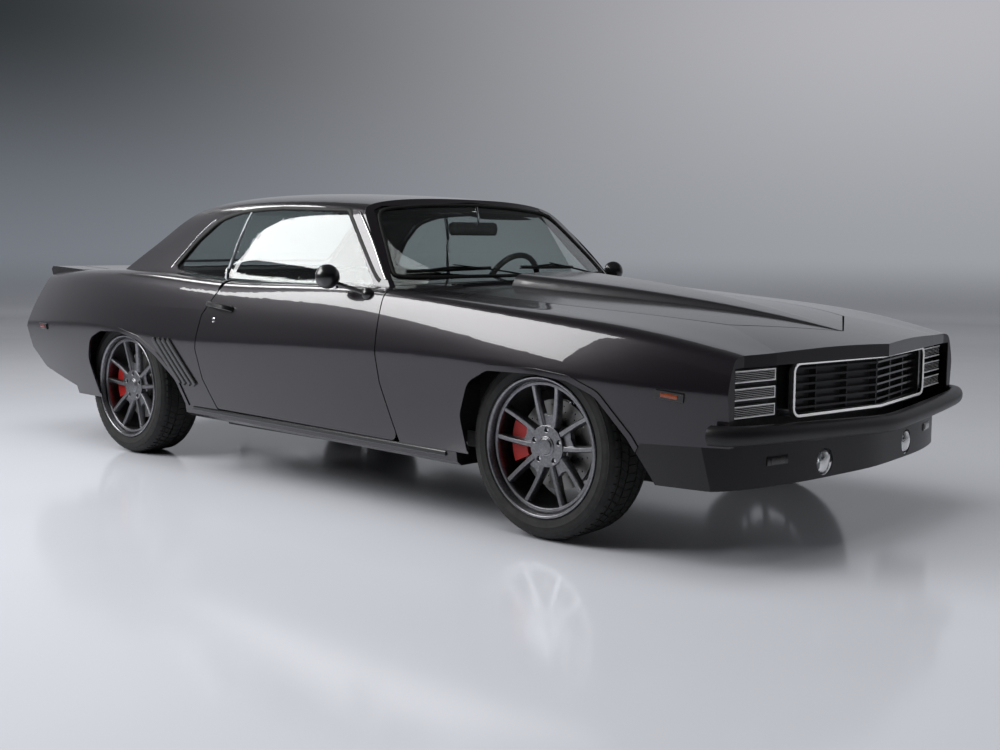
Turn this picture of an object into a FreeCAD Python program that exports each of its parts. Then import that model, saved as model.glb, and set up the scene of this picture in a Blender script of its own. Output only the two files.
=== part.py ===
import FreeCAD, Part
import math
import os

os.makedirs("parts", exist_ok=True)

# A two-door hardtop muscle car of the late nineteen-sixties with hidden headlamps.
# Millimetres. +X points forward, +Y to the car's left, +Z up.
# The origin lies on the floor under the middle of the car's length and width.
# Shares along X are shares of the wheelbase, counted from the front axle.
# Shares along Y are shares of the half width, and along Z shares of the height.

V = FreeCAD.Vector

# Driving dimensions
wheelbase = 2743.0
body_width = 1880.0
roof_height = 1297.0
front_overhang = 941.0
rear_overhang = 1043.0
tyre_radius = 338.0
tyre_width = 232.0
rim_radius = 258.0
rim_width = 226.0
track_half = 752.0

# Wall thicknesses and gaps
fender_skin = 5.0
quarter_skin = 6.0
door_skin = 14.0
door_thickness = 92.0
lid_thickness = 18.0
header_thickness = 14.0
roof_thickness = 34.0
glass_thickness = 6.0
glass_inset = 7.0
seal_gap = 0.3
panel_gap = 6.0
door_swing_gap = 9.5
overrun = 60.0
touching = 1e-6
weld = 1e-3

half_width = body_width / 2
front_axle_x = (front_overhang + wheelbase + rear_overhang) / 2 - front_overhang
rear_axle_x = front_axle_x - wheelbase
nose_x = front_axle_x + front_overhang
tail_x = rear_axle_x - rear_overhang

NODES = {}


def px(share):
    return front_axle_x + share * wheelbase


def py(share):
    return share * half_width


def pz(share):
    return share * roof_height


def keep(name, shape):
    NODES[name] = shape


def mirrored(shape):
    return shape.mirror(V(0, 0, 0), V(0, 1, 0))


def both_sides(shape):
    return Part.makeCompound([shape, mirrored(shape)])


def box(x0, y0, z0, x1, y1, z1):
    low = V(min(x0, x1), min(y0, y1), min(z0, z1))
    return Part.makeBox(abs(x1 - x0), abs(y1 - y0), abs(z1 - z0), low)


def tube_between(start, end, radius):
    along = end.sub(start)
    return Part.makeCylinder(radius, along.Length, start, along)


def through_points(points, closed=False):
    """A smooth curve through points."""
    curve = Part.BSplineCurve()
    curve.interpolate(Points=points, PeriodicFlag=closed)
    return curve.toShape()


def polygon_wire(points):
    return Part.makePolygon(list(points) + [points[0]])


def rounded_wire(points, radius):
    """A closed outline of straight runs with an arc at each corner."""
    count = len(points)
    edges = []
    starts = []
    ends = []
    for index, corner in enumerate(points):
        before = points[index - 1].sub(corner)
        after = points[(index + 1) % count].sub(corner)
        turn = before.getAngle(after)
        if math.pi - turn < 1e-3:
            starts.append(corner)
            ends.append(corner)
            edges.append(None)
            continue
        reach = min(before.Length, after.Length) * 0.49
        cut = min(radius / math.tan(turn / 2), reach)
        into = before.normalize()
        away = after.normalize()
        first = corner.add(V(into) * cut)
        last = corner.add(V(away) * cut)
        middle_direction = V(into).add(away).normalize()
        round_radius = cut * math.tan(turn / 2)
        middle = corner.add(middle_direction * (round_radius / math.sin(turn / 2) - round_radius))
        starts.append(first)
        ends.append(last)
        edges.append(Part.Arc(first, middle, last).toShape())
    loop = []
    for index in range(count):
        if edges[index]:
            loop.append(edges[index])
        following = starts[(index + 1) % count]
        if ends[index].distanceToPoint(following) > touching:
            loop.append(Part.makeLine(ends[index], following))
    return Part.Wire(loop)


def prism(wire, direction):
    return Part.Face(wire).extrude(direction)


def side_prism(outline, radius=0.0, y0=None, y1=None):
    """A solid with a side-view outline of (x, z) points, between two widths."""
    y0 = -half_width - overrun if y0 is None else y0
    y1 = 0.0 if y1 is None else y1
    points = [V(x, y0, z) for x, z in outline]
    wire = rounded_wire(points, radius) if radius else polygon_wire(points)
    return prism(wire, V(0, y1 - y0, 0))


def plan_prism(outline, z0=None, z1=None, radius=0.0):
    """A solid with a plan outline of (x, y) points, between two heights."""
    z0 = 0.0 if z0 is None else z0
    z1 = roof_height + overrun if z1 is None else z1
    points = [V(x, y, z0) for x, y in outline]
    wire = rounded_wire(points, radius) if radius else polygon_wire(points)
    return prism(wire, V(0, 0, z1 - z0))


def clamped_knots(count, degree):
    spans = count - degree
    knots = [index / spans for index in range(spans + 1)]
    mults = [degree + 1] + [1] * (spans - 1) + [degree + 1]
    return knots, mults


def pole_curve(poles):
    knots, mults = clamped_knots(len(poles), 3)
    curve = Part.BSplineCurve()
    curve.buildFromPolesMultsKnots(poles, mults, knots, False, 3)
    return curve


def pole_surface(rows, column_degree=3):
    """A smooth surface over a net of control points, held to the net at its four borders."""
    uknots, umults = clamped_knots(len(rows), 3)
    vknots, vmults = clamped_knots(len(rows[0]), column_degree)
    surface = Part.BSplineSurface()
    surface.buildFromPolesMultsKnots(
        rows, umults, vmults, uknots, vknots, False, False, 3, column_degree)
    return surface


def skin_solid(rows):
    """A closed solid: a smooth skin over open sections, a flat strip that joins their feet, and end caps."""
    skin = pole_surface(rows).toShape()
    feet = pole_surface([[row[0], row[-1]] for row in rows], 1).toShape()
    caps = []
    for row in (rows[0], rows[-1]):
        rim = pole_curve(row).toShape()
        foot = Part.makeLine(row[-1], row[0])
        caps.append(Part.Face(Part.Wire([rim, foot])))
    shell = Part.Shell([skin, feet] + caps)
    shell.sewShape()
    solid = Part.Solid(shell)
    solid.fix(weld, weld / 10, weld * 10)
    if solid.Volume < 0:
        solid.reverse()
    return solid


# Lower body
# Each row: station, crease width, crease height, sill width, shoulder width, shoulder height, centre height.
# The station is a share of the wheelbase, widths are shares of the half width, heights of the height.
body_shares = [
    (0.370, 0.840, 0.452, 0.800, 0.800, 0.500, 0.534),
    (0.290, 0.888, 0.455, 0.850, 0.846, 0.541, 0.569),
    (0.210, 0.938, 0.458, 0.890, 0.888, 0.578, 0.601),
    (0.130, 0.975, 0.463, 0.915, 0.914, 0.605, 0.625),
    (0.050, 0.996, 0.473, 0.926, 0.928, 0.622, 0.643),
    (-0.040, 0.999, 0.484, 0.930, 0.932, 0.636, 0.658),
    (-0.130, 0.990, 0.492, 0.934, 0.930, 0.650, 0.672),
    (-0.220, 0.983, 0.496, 0.936, 0.926, 0.664, 0.685),
    (-0.320, 0.980, 0.494, 0.936, 0.921, 0.679, 0.700),
    (-0.440, 0.980, 0.490, 0.937, 0.919, 0.685, 0.705),
    (-0.560, 0.981, 0.484, 0.938, 0.918, 0.682, 0.705),
    (-0.680, 0.984, 0.476, 0.940, 0.920, 0.678, 0.705),
    (-0.780, 0.990, 0.469, 0.941, 0.925, 0.688, 0.707),
    (-0.880, 0.998, 0.474, 0.942, 0.931, 0.701, 0.710),
    (-0.970, 1.003, 0.486, 0.942, 0.933, 0.706, 0.712),
    (-1.060, 1.002, 0.494, 0.940, 0.930, 0.706, 0.713),
    (-1.150, 0.992, 0.492, 0.932, 0.916, 0.701, 0.712),
    (-1.240, 0.973, 0.484, 0.915, 0.890, 0.693, 0.709),
    (-1.330, 0.940, 0.475, 0.885, 0.852, 0.681, 0.703),
    (-1.420, 0.895, 0.465, 0.845, 0.805, 0.667, 0.694),
]
sill_height_share = 0.205
# The section from sill to centre. Each entry: how far from crease to its partner in width and height.
lower_band_shares = [(1.00, 1.00), (0.72, 0.80), (0.36, 0.46), (0.07, 0.10)]
upper_band_shares = [(0.06, 0.11), (0.26, 0.42), (0.62, 0.74)]
shoulder_crown_share = 0.003
top_width_shares = (0.905, 0.790, 0.600, 0.330)
top_rise_shares = (0.02, 0.12, 0.48, 0.88)


def section_points(row, inset=0.0):
    """Control points across one section, from the right sill over the top to the left sill."""
    station, crease_w, crease_h, sill_w, shoulder_w, shoulder_h, centre_h = row
    crease_y, crease_z = py(crease_w), pz(crease_h)
    sill_y, sill_z = py(sill_w), pz(sill_height_share)
    shoulder_y, shoulder_z = py(shoulder_w), pz(shoulder_h)
    centre_z = pz(centre_h)
    half = []
    for toward_y, toward_z in lower_band_shares:
        half.append((crease_y + toward_y * (sill_y - crease_y), crease_z + toward_z * (sill_z - crease_z)))
    half.append((crease_y, crease_z))
    for toward_y, toward_z in upper_band_shares:
        half.append((crease_y + toward_y * (shoulder_y - crease_y),
                     crease_z + toward_z * (shoulder_z - crease_z)))
    half.append((shoulder_y, shoulder_z))
    for across, rise in zip(top_width_shares, top_rise_shares):
        crown = pz(shoulder_crown_share)
        half.append((shoulder_y * across, shoulder_z + crown + rise * (centre_z - shoulder_z - crown)))
    half.append((0.0, centre_z))
    if inset:
        half = inset_line(half, inset)
    x = px(station)
    right = [V(x, -y, z) for y, z in half]
    left = [V(x, y, z) for y, z in reversed(half[:-1])]
    return right + left


def inset_line(points, inset):
    """Moves an open line of (y, z) points inward, square to itself, with its ends kept on their planes."""
    moved = []
    last = len(points) - 1
    for index, (y, z) in enumerate(points):
        y0, z0 = points[max(index - 1, 0)]
        y1, z1 = points[min(index + 1, last)]
        length = math.hypot(y1 - y0, z1 - z0)
        normal_y, normal_z = -(z1 - z0) / length, (y1 - y0) / length
        if index == last:
            moved.append((0.0, z - inset))
        elif index == 0:
            moved.append((y + normal_y * inset, z))
        else:
            moved.append((y + normal_y * inset, z + normal_z * inset))
    return moved


def body_solid(inset=0.0):
    return skin_solid([section_points(row, inset) for row in body_shares])


# Greenhouse
# Each row: station, foot width, waist width, glass-top width, rail width, rail height, centre height.
roof_shares = [
    (-0.200, 0.800, 0.772, 0.700, 0.655, 0.880, 0.905),
    (-0.300, 0.800, 0.772, 0.705, 0.662, 0.900, 0.938),
    (-0.400, 0.800, 0.772, 0.712, 0.670, 0.921, 0.966),
    (-0.500, 0.800, 0.773, 0.717, 0.676, 0.938, 0.986),
    (-0.600, 0.802, 0.774, 0.720, 0.680, 0.947, 0.997),
    (-0.700, 0.806, 0.775, 0.721, 0.681, 0.949, 1.002),
    (-0.800, 0.830, 0.778, 0.719, 0.676, 0.944, 0.998),
    (-0.900, 0.868, 0.784, 0.713, 0.664, 0.930, 0.982),
    (-1.000, 0.895, 0.790, 0.704, 0.650, 0.903, 0.950),
    (-1.100, 0.900, 0.794, 0.698, 0.642, 0.862, 0.902),
    (-1.200, 0.895, 0.795, 0.696, 0.640, 0.810, 0.842),
]
roof_foot_height_share = 0.655
roof_waist_height_shares = (0.700, 0.725)
roof_side_height_shares = (0.790, 0.875)
roof_crown_width_shares = (0.90, 0.70, 0.36)
roof_crown_rise_shares = (0.42, 0.76, 0.97)

# Windscreen: height, side station, centre station. Rear window likewise.
windscreen_shares = [
    (0.600, -0.300, -0.246),
    (0.709, -0.343, -0.292),
    (0.784, -0.379, -0.330),
    (0.859, -0.415, -0.370),
    (0.934, -0.452, -0.412),
    (1.010, -0.496, -0.462),
    (1.080, -0.540, -0.512),
]
rear_window_shares = [
    (0.600, -1.125, -1.160),
    (0.705, -1.062, -1.095),
    (0.760, -1.020, -1.052),
    (0.806, -0.984, -1.014),
    (0.884, -0.930, -0.956),
    (0.936, -0.876, -0.896),
    (0.968, -0.812, -0.828),
    (0.996, -0.740, -0.750),
    (1.040, -0.640, -0.645),
]
screen_half_width_share = 0.77


def roof_section(row, inset=0.0):
    station, foot_w, waist_w, side_w, rail_w, rail_h, centre_h = row
    low_waist, high_waist = roof_waist_height_shares
    low_side, high_side = roof_side_height_shares
    half = [
        (py(foot_w), pz(roof_foot_height_share)),
        (py(waist_w + 0.4 * (foot_w - waist_w)), pz(low_waist - 0.02)),
        (py(waist_w), pz(high_waist)),
        (py(waist_w + 0.45 * (side_w - waist_w)), pz(low_side)),
        (py(side_w), pz(high_side * rail_h / 0.948)),
        (py(rail_w), pz(rail_h)),
    ]
    for across, rise in zip(roof_crown_width_shares, roof_crown_rise_shares):
        half.append((py(rail_w) * across, pz(rail_h + rise * (centre_h - rail_h))))
    half.append((0.0, pz(centre_h)))
    if inset:
        half = inset_line(half, inset)
    x = px(station)
    return [V(x, -y, z) for y, z in half] + [V(x, y, z) for y, z in reversed(half[:-1])]


def screen_block(table, inset, toward):
    """The space on the cabin side of a curved screen; toward is -1 behind it and 1 in front of it."""
    across_shares = [-1.25, -1.0, -0.75, -0.5, -0.25, 0.0, 0.25, 0.5, 0.75, 1.0, 1.25]
    rows = []
    for height, side, centre in table:
        row = []
        for across in across_shares:
            bow = 1.0 - across * across
            x = px(side + (centre - side) * bow) + toward * inset
            row.append(V(x, across * py(screen_half_width_share), pz(height)))
        rows.append(row)
    face = pole_surface(rows).toShape()
    return face.extrude(V(toward * wheelbase * 1.2, 0, 0))


def bubble(inset=0.0):
    """The whole greenhouse as one closed form, shrunk by an inset."""
    upper = skin_solid([roof_section(row, inset) for row in roof_shares])
    upper = upper.common(screen_block(windscreen_shares, inset, -1))
    return upper.common(screen_block(rear_window_shares, inset, 1))


# Side-view outlines, as (station, height) shares
tail_shares = [
    (0.50, 1.15), (-1.296, 1.15), (-1.298, 0.668), (-1.312, 0.617), (-1.345, 0.527),
    (-1.3675, 0.457), (-1.350, 0.371), (-1.290, 0.294), (-1.165, 0.235), (-1.150, 0.100), (0.50, 0.100),
]
front_arch_shares = [
    (-0.116, 0.120), (-0.129, 0.327), (-0.108, 0.428), (-0.070, 0.467), (0.014, 0.470),
    (0.066, 0.459), (0.106, 0.425), (0.148, 0.322), (0.205, 0.120),
]
rear_arch_shares = [
    (-1.060, 0.120), (-1.095, 0.360), (-1.078, 0.440), (-1.036, 0.473), (-0.974, 0.477),
    (-0.914, 0.452), (-0.866, 0.402), (-0.812, 0.318), (-0.762, 0.120),
]
arch_corner_radius = 90.0
door_shares = [
    (-0.2965, 0.80), (-0.2965, 0.480), (-0.291, 0.395), (-0.2605, 0.2185),
    (-0.700, 0.2330), (-0.732, 0.335), (-0.744, 0.440), (-0.730, 0.560), (-0.690, 0.664), (-0.690, 0.80),
]
door_corner_radius = 30.0
door_box_front_share = -0.2975
door_box_rear_share = -0.672
door_box_floor_share = 0.250
side_window_shares = [
    (-0.3530, 0.640), (-0.3725, 0.688), (-0.4715, 0.928), (-0.640, 0.9385), (-0.745, 0.927),
    (-0.808, 0.892), (-0.860, 0.817), (-0.905, 0.715), (-0.840, 0.700), (-0.720, 0.640),
]
window_split_shares = (-0.752, -0.722)
window_corner_radius = 26.0

# Plan outlines, as (station, width) shares
nose_shares = [(0.3270, 0.000), (0.3200, 0.120), (0.3030, 0.400), (0.2900, 0.620), (0.2800, 0.800), (0.2790, 1.100)]
valance_shares = [(0.3100, 0.000), (0.3060, 0.200), (0.2960, 0.480), (0.2800, 0.700), (0.2600, 0.840), (0.2200, 0.960),
                  (0.1700, 1.100)]
hood_side_shares = [(0.1820, 0.448), (0.0985, 0.558), (-0.0220, 0.648), (-0.1800, 0.700), (-0.2515, 0.734)]
hood_front_share = 0.2620
# Raised centre of the hood: station, half width, centre height of the lid, rise above it.
hood_bulge_shares = [
    (0.2600, 0.012, 0.5805, 0.000),
    (0.2100, 0.050, 0.6010, 0.004),
    (0.1300, 0.104, 0.6250, 0.011),
    (0.0500, 0.157, 0.6430, 0.018),
    (-0.0400, 0.214, 0.6580, 0.026),
    (-0.1300, 0.268, 0.6720, 0.032),
    (-0.2600, 0.318, 0.6910, 0.035),
]
# Its section: share of the half width, drop from the lid's centre, share of the rise.
bulge_section_shares = [
    (1.10, -0.016, 0.00), (1.04, -0.008, 0.10), (1.00, -0.003, 0.55), (0.94, 0.000, 0.95), (0.70, 0.000, 1.06),
    (0.35, 0.000, 1.10), (0.00, 0.000, 1.12),
]
hood_rear_centre_share = -0.2330
header_seam_share = (0.2870, 0.628)
deck_shares = [(-1.1080, 0.668), (-1.2000, 0.690), (-1.3080, 0.690)]
deck_front_share = -1.1080


def share_points(table):
    return [(px(s), pz(h)) for s, h in table]


def plan_points(table):
    return [(px(s), py(w)) for s, w in table]


def nose_block(table, setback=0.0, smooth=False):
    """All that lies behind a nose line given for one side in plan."""
    ahead = [V(x - setback, y, 0) for x, y in plan_points(table)]
    line = [V(point.x, -point.y, 0) for point in reversed(ahead)] + ahead[1:]
    rear = [V(tail_x - overrun, line[-1].y, 0), V(tail_x - overrun, line[0].y, 0)]
    front = through_points(line) if smooth else Part.makePolygon(line)
    back = Part.makePolygon([line[-1]] + rear + [line[0]])
    return prism(Part.Wire(front.Edges + back.Edges), V(0, 0, roof_height + overrun))


def tail_block(setback=0.0):
    """All that lies ahead of the tail profile."""
    reach = half_width + overrun
    if setback:
        points = []
        for x, z in share_points(tail_shares):
            if x < px(-0.5):
                x += setback
            points.append((x, z))
        points[-3] = (points[-3][0], points[-3][1] + setback)
        points[-4] = (points[-4][0], points[-4][1] + setback)
        return side_prism(points, 0.0, -reach, reach)
    return side_prism(share_points(tail_shares), 0.0, -reach, reach)


def body_block(inset=0.0):
    """The lower body as one closed form, shrunk by an inset."""
    solid = body_solid(inset)
    solid = solid.common(nose_block(nose_shares, inset))
    return solid.common(tail_block(inset))


# Openings in the greenhouse, in front view, as (width, height) shares for one side
windscreen_opening_shares = [(0.000, 0.640), (0.768, 0.640), (0.753, 0.712), (0.618, 0.926), (0.560, 0.940), (0.000, 0.962)]
rear_opening_shares = [(0.000, 0.720), (0.620, 0.716), (0.600, 0.760), (0.510, 0.930), (0.430, 0.948), (0.000, 0.962)]


def front_outline(table, shrink):
    """A mirrored front-view outline of (y, z) points, drawn in by a distance at its sides, foot and head."""
    high = max(h for w, h in table)
    low = min(h for w, h in table)
    half = []
    for w, h in table:
        y = py(w) - shrink if w else 0.0
        z = pz(h) + shrink if h < (low + high) / 2 else pz(h) - shrink
        half.append((y, z))
    return [(-y, z) for y, z in half] + [(y, z) for y, z in reversed(half[1:-1])]


def front_prism(outline, x0, x1, radius):
    points = [V(x0, y, z) for y, z in outline]
    wire = rounded_wire(points, radius) if radius else polygon_wire(points)
    return prism(wire, V(x1 - x0, 0, 0))


def shrink_outline(points, distance):
    """A closed outline drawn in by a distance, by moving each run square to itself."""
    count = len(points)
    area = sum(points[i][0] * points[(i + 1) % count][1] - points[(i + 1) % count][0] * points[i][1]
               for i in range(count))
    turn = 1.0 if area > 0 else -1.0
    moved = []
    for i in range(count):
        a, b, c = points[i - 1], points[i], points[(i + 1) % count]
        u = (b[0] - a[0], b[1] - a[1])
        v = (c[0] - b[0], c[1] - b[1])
        lu, lv = math.hypot(*u), math.hypot(*v)
        nu = (-u[1] / lu * turn, u[0] / lu * turn)
        nv = (-v[1] / lv * turn, v[0] / lv * turn)
        lean = 1.0 + nu[0] * nv[0] + nu[1] * nv[1]
        moved.append((b[0] + distance * (nu[0] + nv[0]) / lean, b[1] + distance * (nu[1] + nv[1]) / lean))
    return moved


def side_cut(table, radius, grow=0.0, y0=None, y1=0.0):
    """A side-view outline from shares, grown by a distance, from the right side inward."""
    return side_prism(shrink_outline(share_points(table), -grow), radius, y0, y1)


def hood_prism(gap):
    """The hood's plan outline with a gap taken off all round."""
    side = [(x, y - gap) for x, y in plan_points(hood_side_shares)]
    side[0] = (side[0][0] - gap, side[0][1])
    side[-1] = (side[-1][0] + gap, side[-1][1])
    front = V(px(hood_front_share) - gap, 0, 0)
    rear = V(px(hood_rear_centre_share) + gap, 0, 0)
    right = [V(x, -y, 0) for x, y in side]
    left = [V(x, y, 0) for x, y in side]
    edges = [
        Part.makeLine(front, right[0]),
        through_points(right),
        through_points([right[-1], rear, left[-1]]),
        through_points(list(reversed(left))),
        Part.makeLine(left[0], front),
    ]
    return prism(Part.Wire(edges), V(0, 0, roof_height))


def swept_solid(path, section):
    """A smooth bar: a section of (out, up) control points carried along stations (x, y, z, out_x, out_y)."""
    rows = []
    for x, y, z, out_x, out_y in path:
        row = [V(x + out * out_x, y + out * out_y, z + up) for out, up in section]
        row.append(row[0])
        rows.append(row)
    skin = pole_surface(rows).toShape()
    caps = [Part.Face(Part.Wire([pole_curve(row).toShape()])) for row in (rows[0], rows[-1])]
    shell = Part.Shell([skin] + caps)
    shell.sewShape()
    solid = Part.Solid(shell)
    if solid.Volume < 0:
        solid.reverse()
    return solid


def path_stations(points, heights):
    """Turns plan points and heights into stations with the outward direction of the plan curve."""
    stations = []
    count = len(points)
    for index, (x, y) in enumerate(points):
        x0, y0 = points[max(index - 1, 0)]
        x1, y1 = points[min(index + 1, count - 1)]
        length = math.hypot(x1 - x0, y1 - y0)
        stations.append((x, y, heights[index], (y1 - y0) / length, -(x1 - x0) / length))
    return stations


# Body panels
body = body_block()
body_open = body_solid()
fender_void = body_block(fender_skin)
quarter_void = body_block(quarter_skin)
header_void = body_block(header_thickness)
cowl_void = body_solid(header_thickness)
door_void = body_solid(door_skin)
door_core = body_solid(door_thickness)
lid_void = body_solid(lid_thickness)

front_arch = side_cut(front_arch_shares, arch_corner_radius)
rear_arch = side_cut(rear_arch_shares, arch_corner_radius)
lip_width = 20.0
lip_proud = 5.0


def arch_lip(table, skin):
    """The raised rim round a wheel arch."""
    ring = side_cut(table, arch_corner_radius, lip_width).cut(side_cut(table, arch_corner_radius))
    low = box(px(-1.2), -half_width - overrun, pz(0.0), px(0.3), 0, pz(sill_height_share) + lip_width)
    ring = ring.cut(low)
    return body_solid(-lip_proud).common(ring).cut(body_solid(skin))


fog_y = py(0.334)
fog_z = pz(0.2483)
fog_x = px(0.2985)
fog_radius = 47.0
gutter_wall = 8.0
gutter_width = 28.0
grille_floor_share = 0.372
grille_head_share = 0.517
front_opening_half_share = 0.853
front_opening = box(px(0.15), -py(front_opening_half_share), pz(0.15),
                    px(0.45), py(front_opening_half_share), pz(grille_head_share))
fender_seam_shares = [(0.42, 0.331), (0.165, 0.312)]
rocker_top_shares = [(-0.145, 0.2131), (-0.800, 0.2290)]
pillar_width_share = 0.850


def make_fender():
    gap = panel_gap
    seam = header_seam_share
    hood_front = hood_side_shares[0]
    lean = (seam[1] - hood_front[1]) / (seam[0] - hood_front[0])
    beyond = (0.42, seam[1] + lean * (0.42 - seam[0]))
    inner = [beyond, hood_front, (-0.120, 0.550), hood_side_shares[-1]]
    plan = [(px(s), -py(w)) for s, w in inner]
    rear_x = px(door_shares[0][0]) + gap
    plan += [(px(hood_side_shares[-1][0]), -py(pillar_width_share)), (rear_x - overrun, -py(pillar_width_share))]
    plan += [(rear_x - overrun, -half_width - overrun), (px(0.42), -half_width - overrun)]
    side = [(px(0.42), pz(0.95)), (px(0.42), pz(fender_seam_shares[0][1])),
            (px(fender_seam_shares[1][0]), pz(fender_seam_shares[1][1])),
            (px(0.12), pz(0.15)), (px(-0.10), pz(0.15)),
            (px(-0.10), pz(rocker_top_shares[0][1]) + seal_gap)]
    edge = [(px(s) + gap, pz(h)) for s, h in door_shares[:4]]
    side += [(edge[3][0] - gap, pz(rocker_top_shares[0][1] + 0.0035)), edge[3], edge[2], edge[1],
             (edge[0][0], pz(0.95))]
    region = plan_prism(plan).common(side_prism(side))
    panel = body.common(region).cut(fender_void)
    panel = panel.cut(front_opening).cut(hood_prism(0.0))
    panel = panel.fuse(arch_lip(front_arch_shares, fender_skin).common(region))
    return panel.cut(front_arch)


def make_header():
    gap = seal_gap
    seam = header_seam_share
    hood_front = hood_side_shares[0]
    lean = (seam[1] - hood_front[1]) / (seam[0] - hood_front[0])
    beyond = (0.42, seam[1] + lean * (0.42 - seam[0]))
    half = [(px(hood_front_share), 0.0), (px(hood_front[0]), py(hood_front[1]) - gap),
            (px(beyond[0]), py(beyond[1]) - gap)]
    outline = [(x, -y) for x, y in half] + [(x, y) for x, y in reversed(half[1:])]
    region = plan_prism(outline, pz(grille_head_share))
    return body.common(region).cut(header_void).cut(hood_prism(0.0))


def make_hood():
    """The lid with its raised centre, which narrows to a point at the front."""
    rows = []
    for station, width, centre, rise in hood_bulge_shares:
        half = [(py(width * w), pz(centre + drop + rise * up)) for w, drop, up in bulge_section_shares]
        x = px(station)
        rows.append([V(x, -y, z) for y, z in half] + [V(x, y, z) for y, z in reversed(half[:-1])])
    outline = hood_prism(panel_gap)
    bulge = skin_solid(rows).common(outline)
    slab = body_open.common(outline).cut(lid_void)
    return slab.fuse(bulge.cut(lid_void))


def make_valance():
    reach = 0.42
    low = pz(0.15)
    outline = [(px(reach), low), (px(reach), pz(fender_seam_shares[0][1]) - seal_gap),
               (px(fender_seam_shares[1][0]), pz(fender_seam_shares[1][1]) - seal_gap),
               (px(0.12) + seal_gap, low)]
    region = side_prism(outline, 0.0, -half_width - overrun, half_width + overrun)
    outer = body_open.common(nose_block(valance_shares, 0.0, True))
    inner = body_solid(fender_skin).common(nose_block(valance_shares, fender_skin, True))
    panel = outer.common(region).cut(inner)
    panel = panel.cut(front_arch).cut(mirrored(front_arch))
    for side in (-1, 1):
        panel = panel.cut(tube_between(V(px(0.20), side * fog_y, fog_z), V(px(0.36), side * fog_y, fog_z),
                                       fog_radius + 3 * seal_gap))
    return panel


def make_door():
    outline = side_prism(share_points(door_shares), door_corner_radius)
    skin = body_open.common(outline).cut(door_void)
    inner_limit = box(px(-0.20), -py(0.775), 0, px(-0.80), 0, roof_height)
    pillar_limit = box(px(-0.20), -py(pillar_width_share), 0, px(-0.362), 0, roof_height)
    core_region = box(px(door_box_front_share), -half_width - overrun, pz(door_box_floor_share),
                      px(door_box_rear_share), 0, pz(0.80))
    core = body_open.common(core_region).cut(door_core)
    return skin.fuse(core).cut(inner_limit).cut(pillar_limit)


def make_quarter():
    gap = panel_gap
    inner = [(-0.60, 0.775), (-0.905, 0.775), (-0.905, deck_shares[0][1])] + deck_shares + [(-1.45, deck_shares[-1][1])]
    plan = [(px(s), -py(w)) for s, w in inner]
    plan += [(px(-1.45), -half_width - overrun), (px(-0.60), -half_width - overrun)]
    region = plan_prism(plan)
    door_hole = side_prism(shrink_outline(share_points(door_shares), -gap), door_corner_radius)
    ahead = box(px(-0.70), -half_width - overrun, 0, px(-0.20), 0, roof_height)
    below = side_prism([(px(-0.60), pz(0.10)), (px(-0.60), pz(rocker_top_shares[1][1]) + seal_gap),
                        (px(-0.85), pz(rocker_top_shares[1][1]) + seal_gap), (px(-0.85), pz(0.10))])
    panel = body.common(region).cut(quarter_void)
    ledge_region = box(px(-0.700), -half_width - overrun, pz(0.580), px(-0.905), -py(0.775), pz(0.800))
    ledge = body_open.common(ledge_region).cut(door_core)
    pillar_region = box(px(-0.700), -half_width, pz(rocker_top_shares[1][1]) + seal_gap, px(-0.755), -py(0.700), pz(0.620))
    pillar = body_solid(door_skin + panel_gap).cut(door_core).common(pillar_region)
    panel = panel.fuse([ledge, pillar])
    lip = arch_lip(rear_arch_shares, quarter_skin).common(region)
    panel = panel.fuse(lip)
    skin_hole = door_hole.cut(body_solid(door_skin + panel_gap))
    return panel.cut(skin_hole).cut(ahead).cut(below).cut(rear_arch)


def make_tail_panel():
    inner = deck_shares[-1][1]
    region = box(px(-1.45), -py(inner) + seal_gap, 0, px(-1.293) - panel_gap, py(inner) - seal_gap, roof_height)
    under = box(px(-1.45), -py(inner) + seal_gap, 0, px(-1.265), py(inner) - seal_gap, pz(0.40))
    panel = body.common(region.fuse(under)).cut(quarter_void)
    return panel


def make_decklid():
    half = [(px(s), py(w) - panel_gap) for s, w in deck_shares]
    half[0] = (half[0][0] - panel_gap, half[0][1])
    half[-1] = (px(-1.293), half[-1][1])
    outline = [(x, -y) for x, y in half] + [(x, y) for x, y in reversed(half)]
    region = plan_prism(outline, pz(0.50))
    return body.common(region).cut(lid_void)


def make_trunk_gutter():
    """The channel round the luggage opening that the lid's seal rests on."""
    def ring(outward, inward):
        half = [(px(deck_front_share) + outward, py(deck_shares[0][1]) + outward),
                (px(deck_shares[1][0]), py(deck_shares[1][1]) + outward),
                (px(-1.290), py(deck_shares[2][1]) + outward)]
        near = [(x - outward - inward if i == 0 else x, y - outward - inward) for i, (x, y) in enumerate(half)]
        outline = [(x, -y) for x, y in reversed(half)] + half + list(reversed(near)) + [(x, -y) for x, y in near]
        return plan_prism(outline, pz(0.50))
    wall = body_solid(quarter_skin + seal_gap).common(ring(gutter_wall, 0.0))
    shelf = body_solid(lid_thickness + seal_gap).common(ring(0.0, gutter_width))
    return wall.fuse(shelf).cut(body_solid(lid_thickness + seal_gap + gutter_wall))


def make_rear_shelf():
    half = [(px(-0.905), py(deck_shares[0][1]) - seal_gap), (px(deck_front_share), py(deck_shares[0][1]) - seal_gap)]
    outline = [(half[0][0], -half[0][1]), (half[1][0], -half[1][1]), half[1], half[0]]
    return body_open.common(plan_prism(outline, pz(0.50))).cut(body_solid(quarter_skin))


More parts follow.
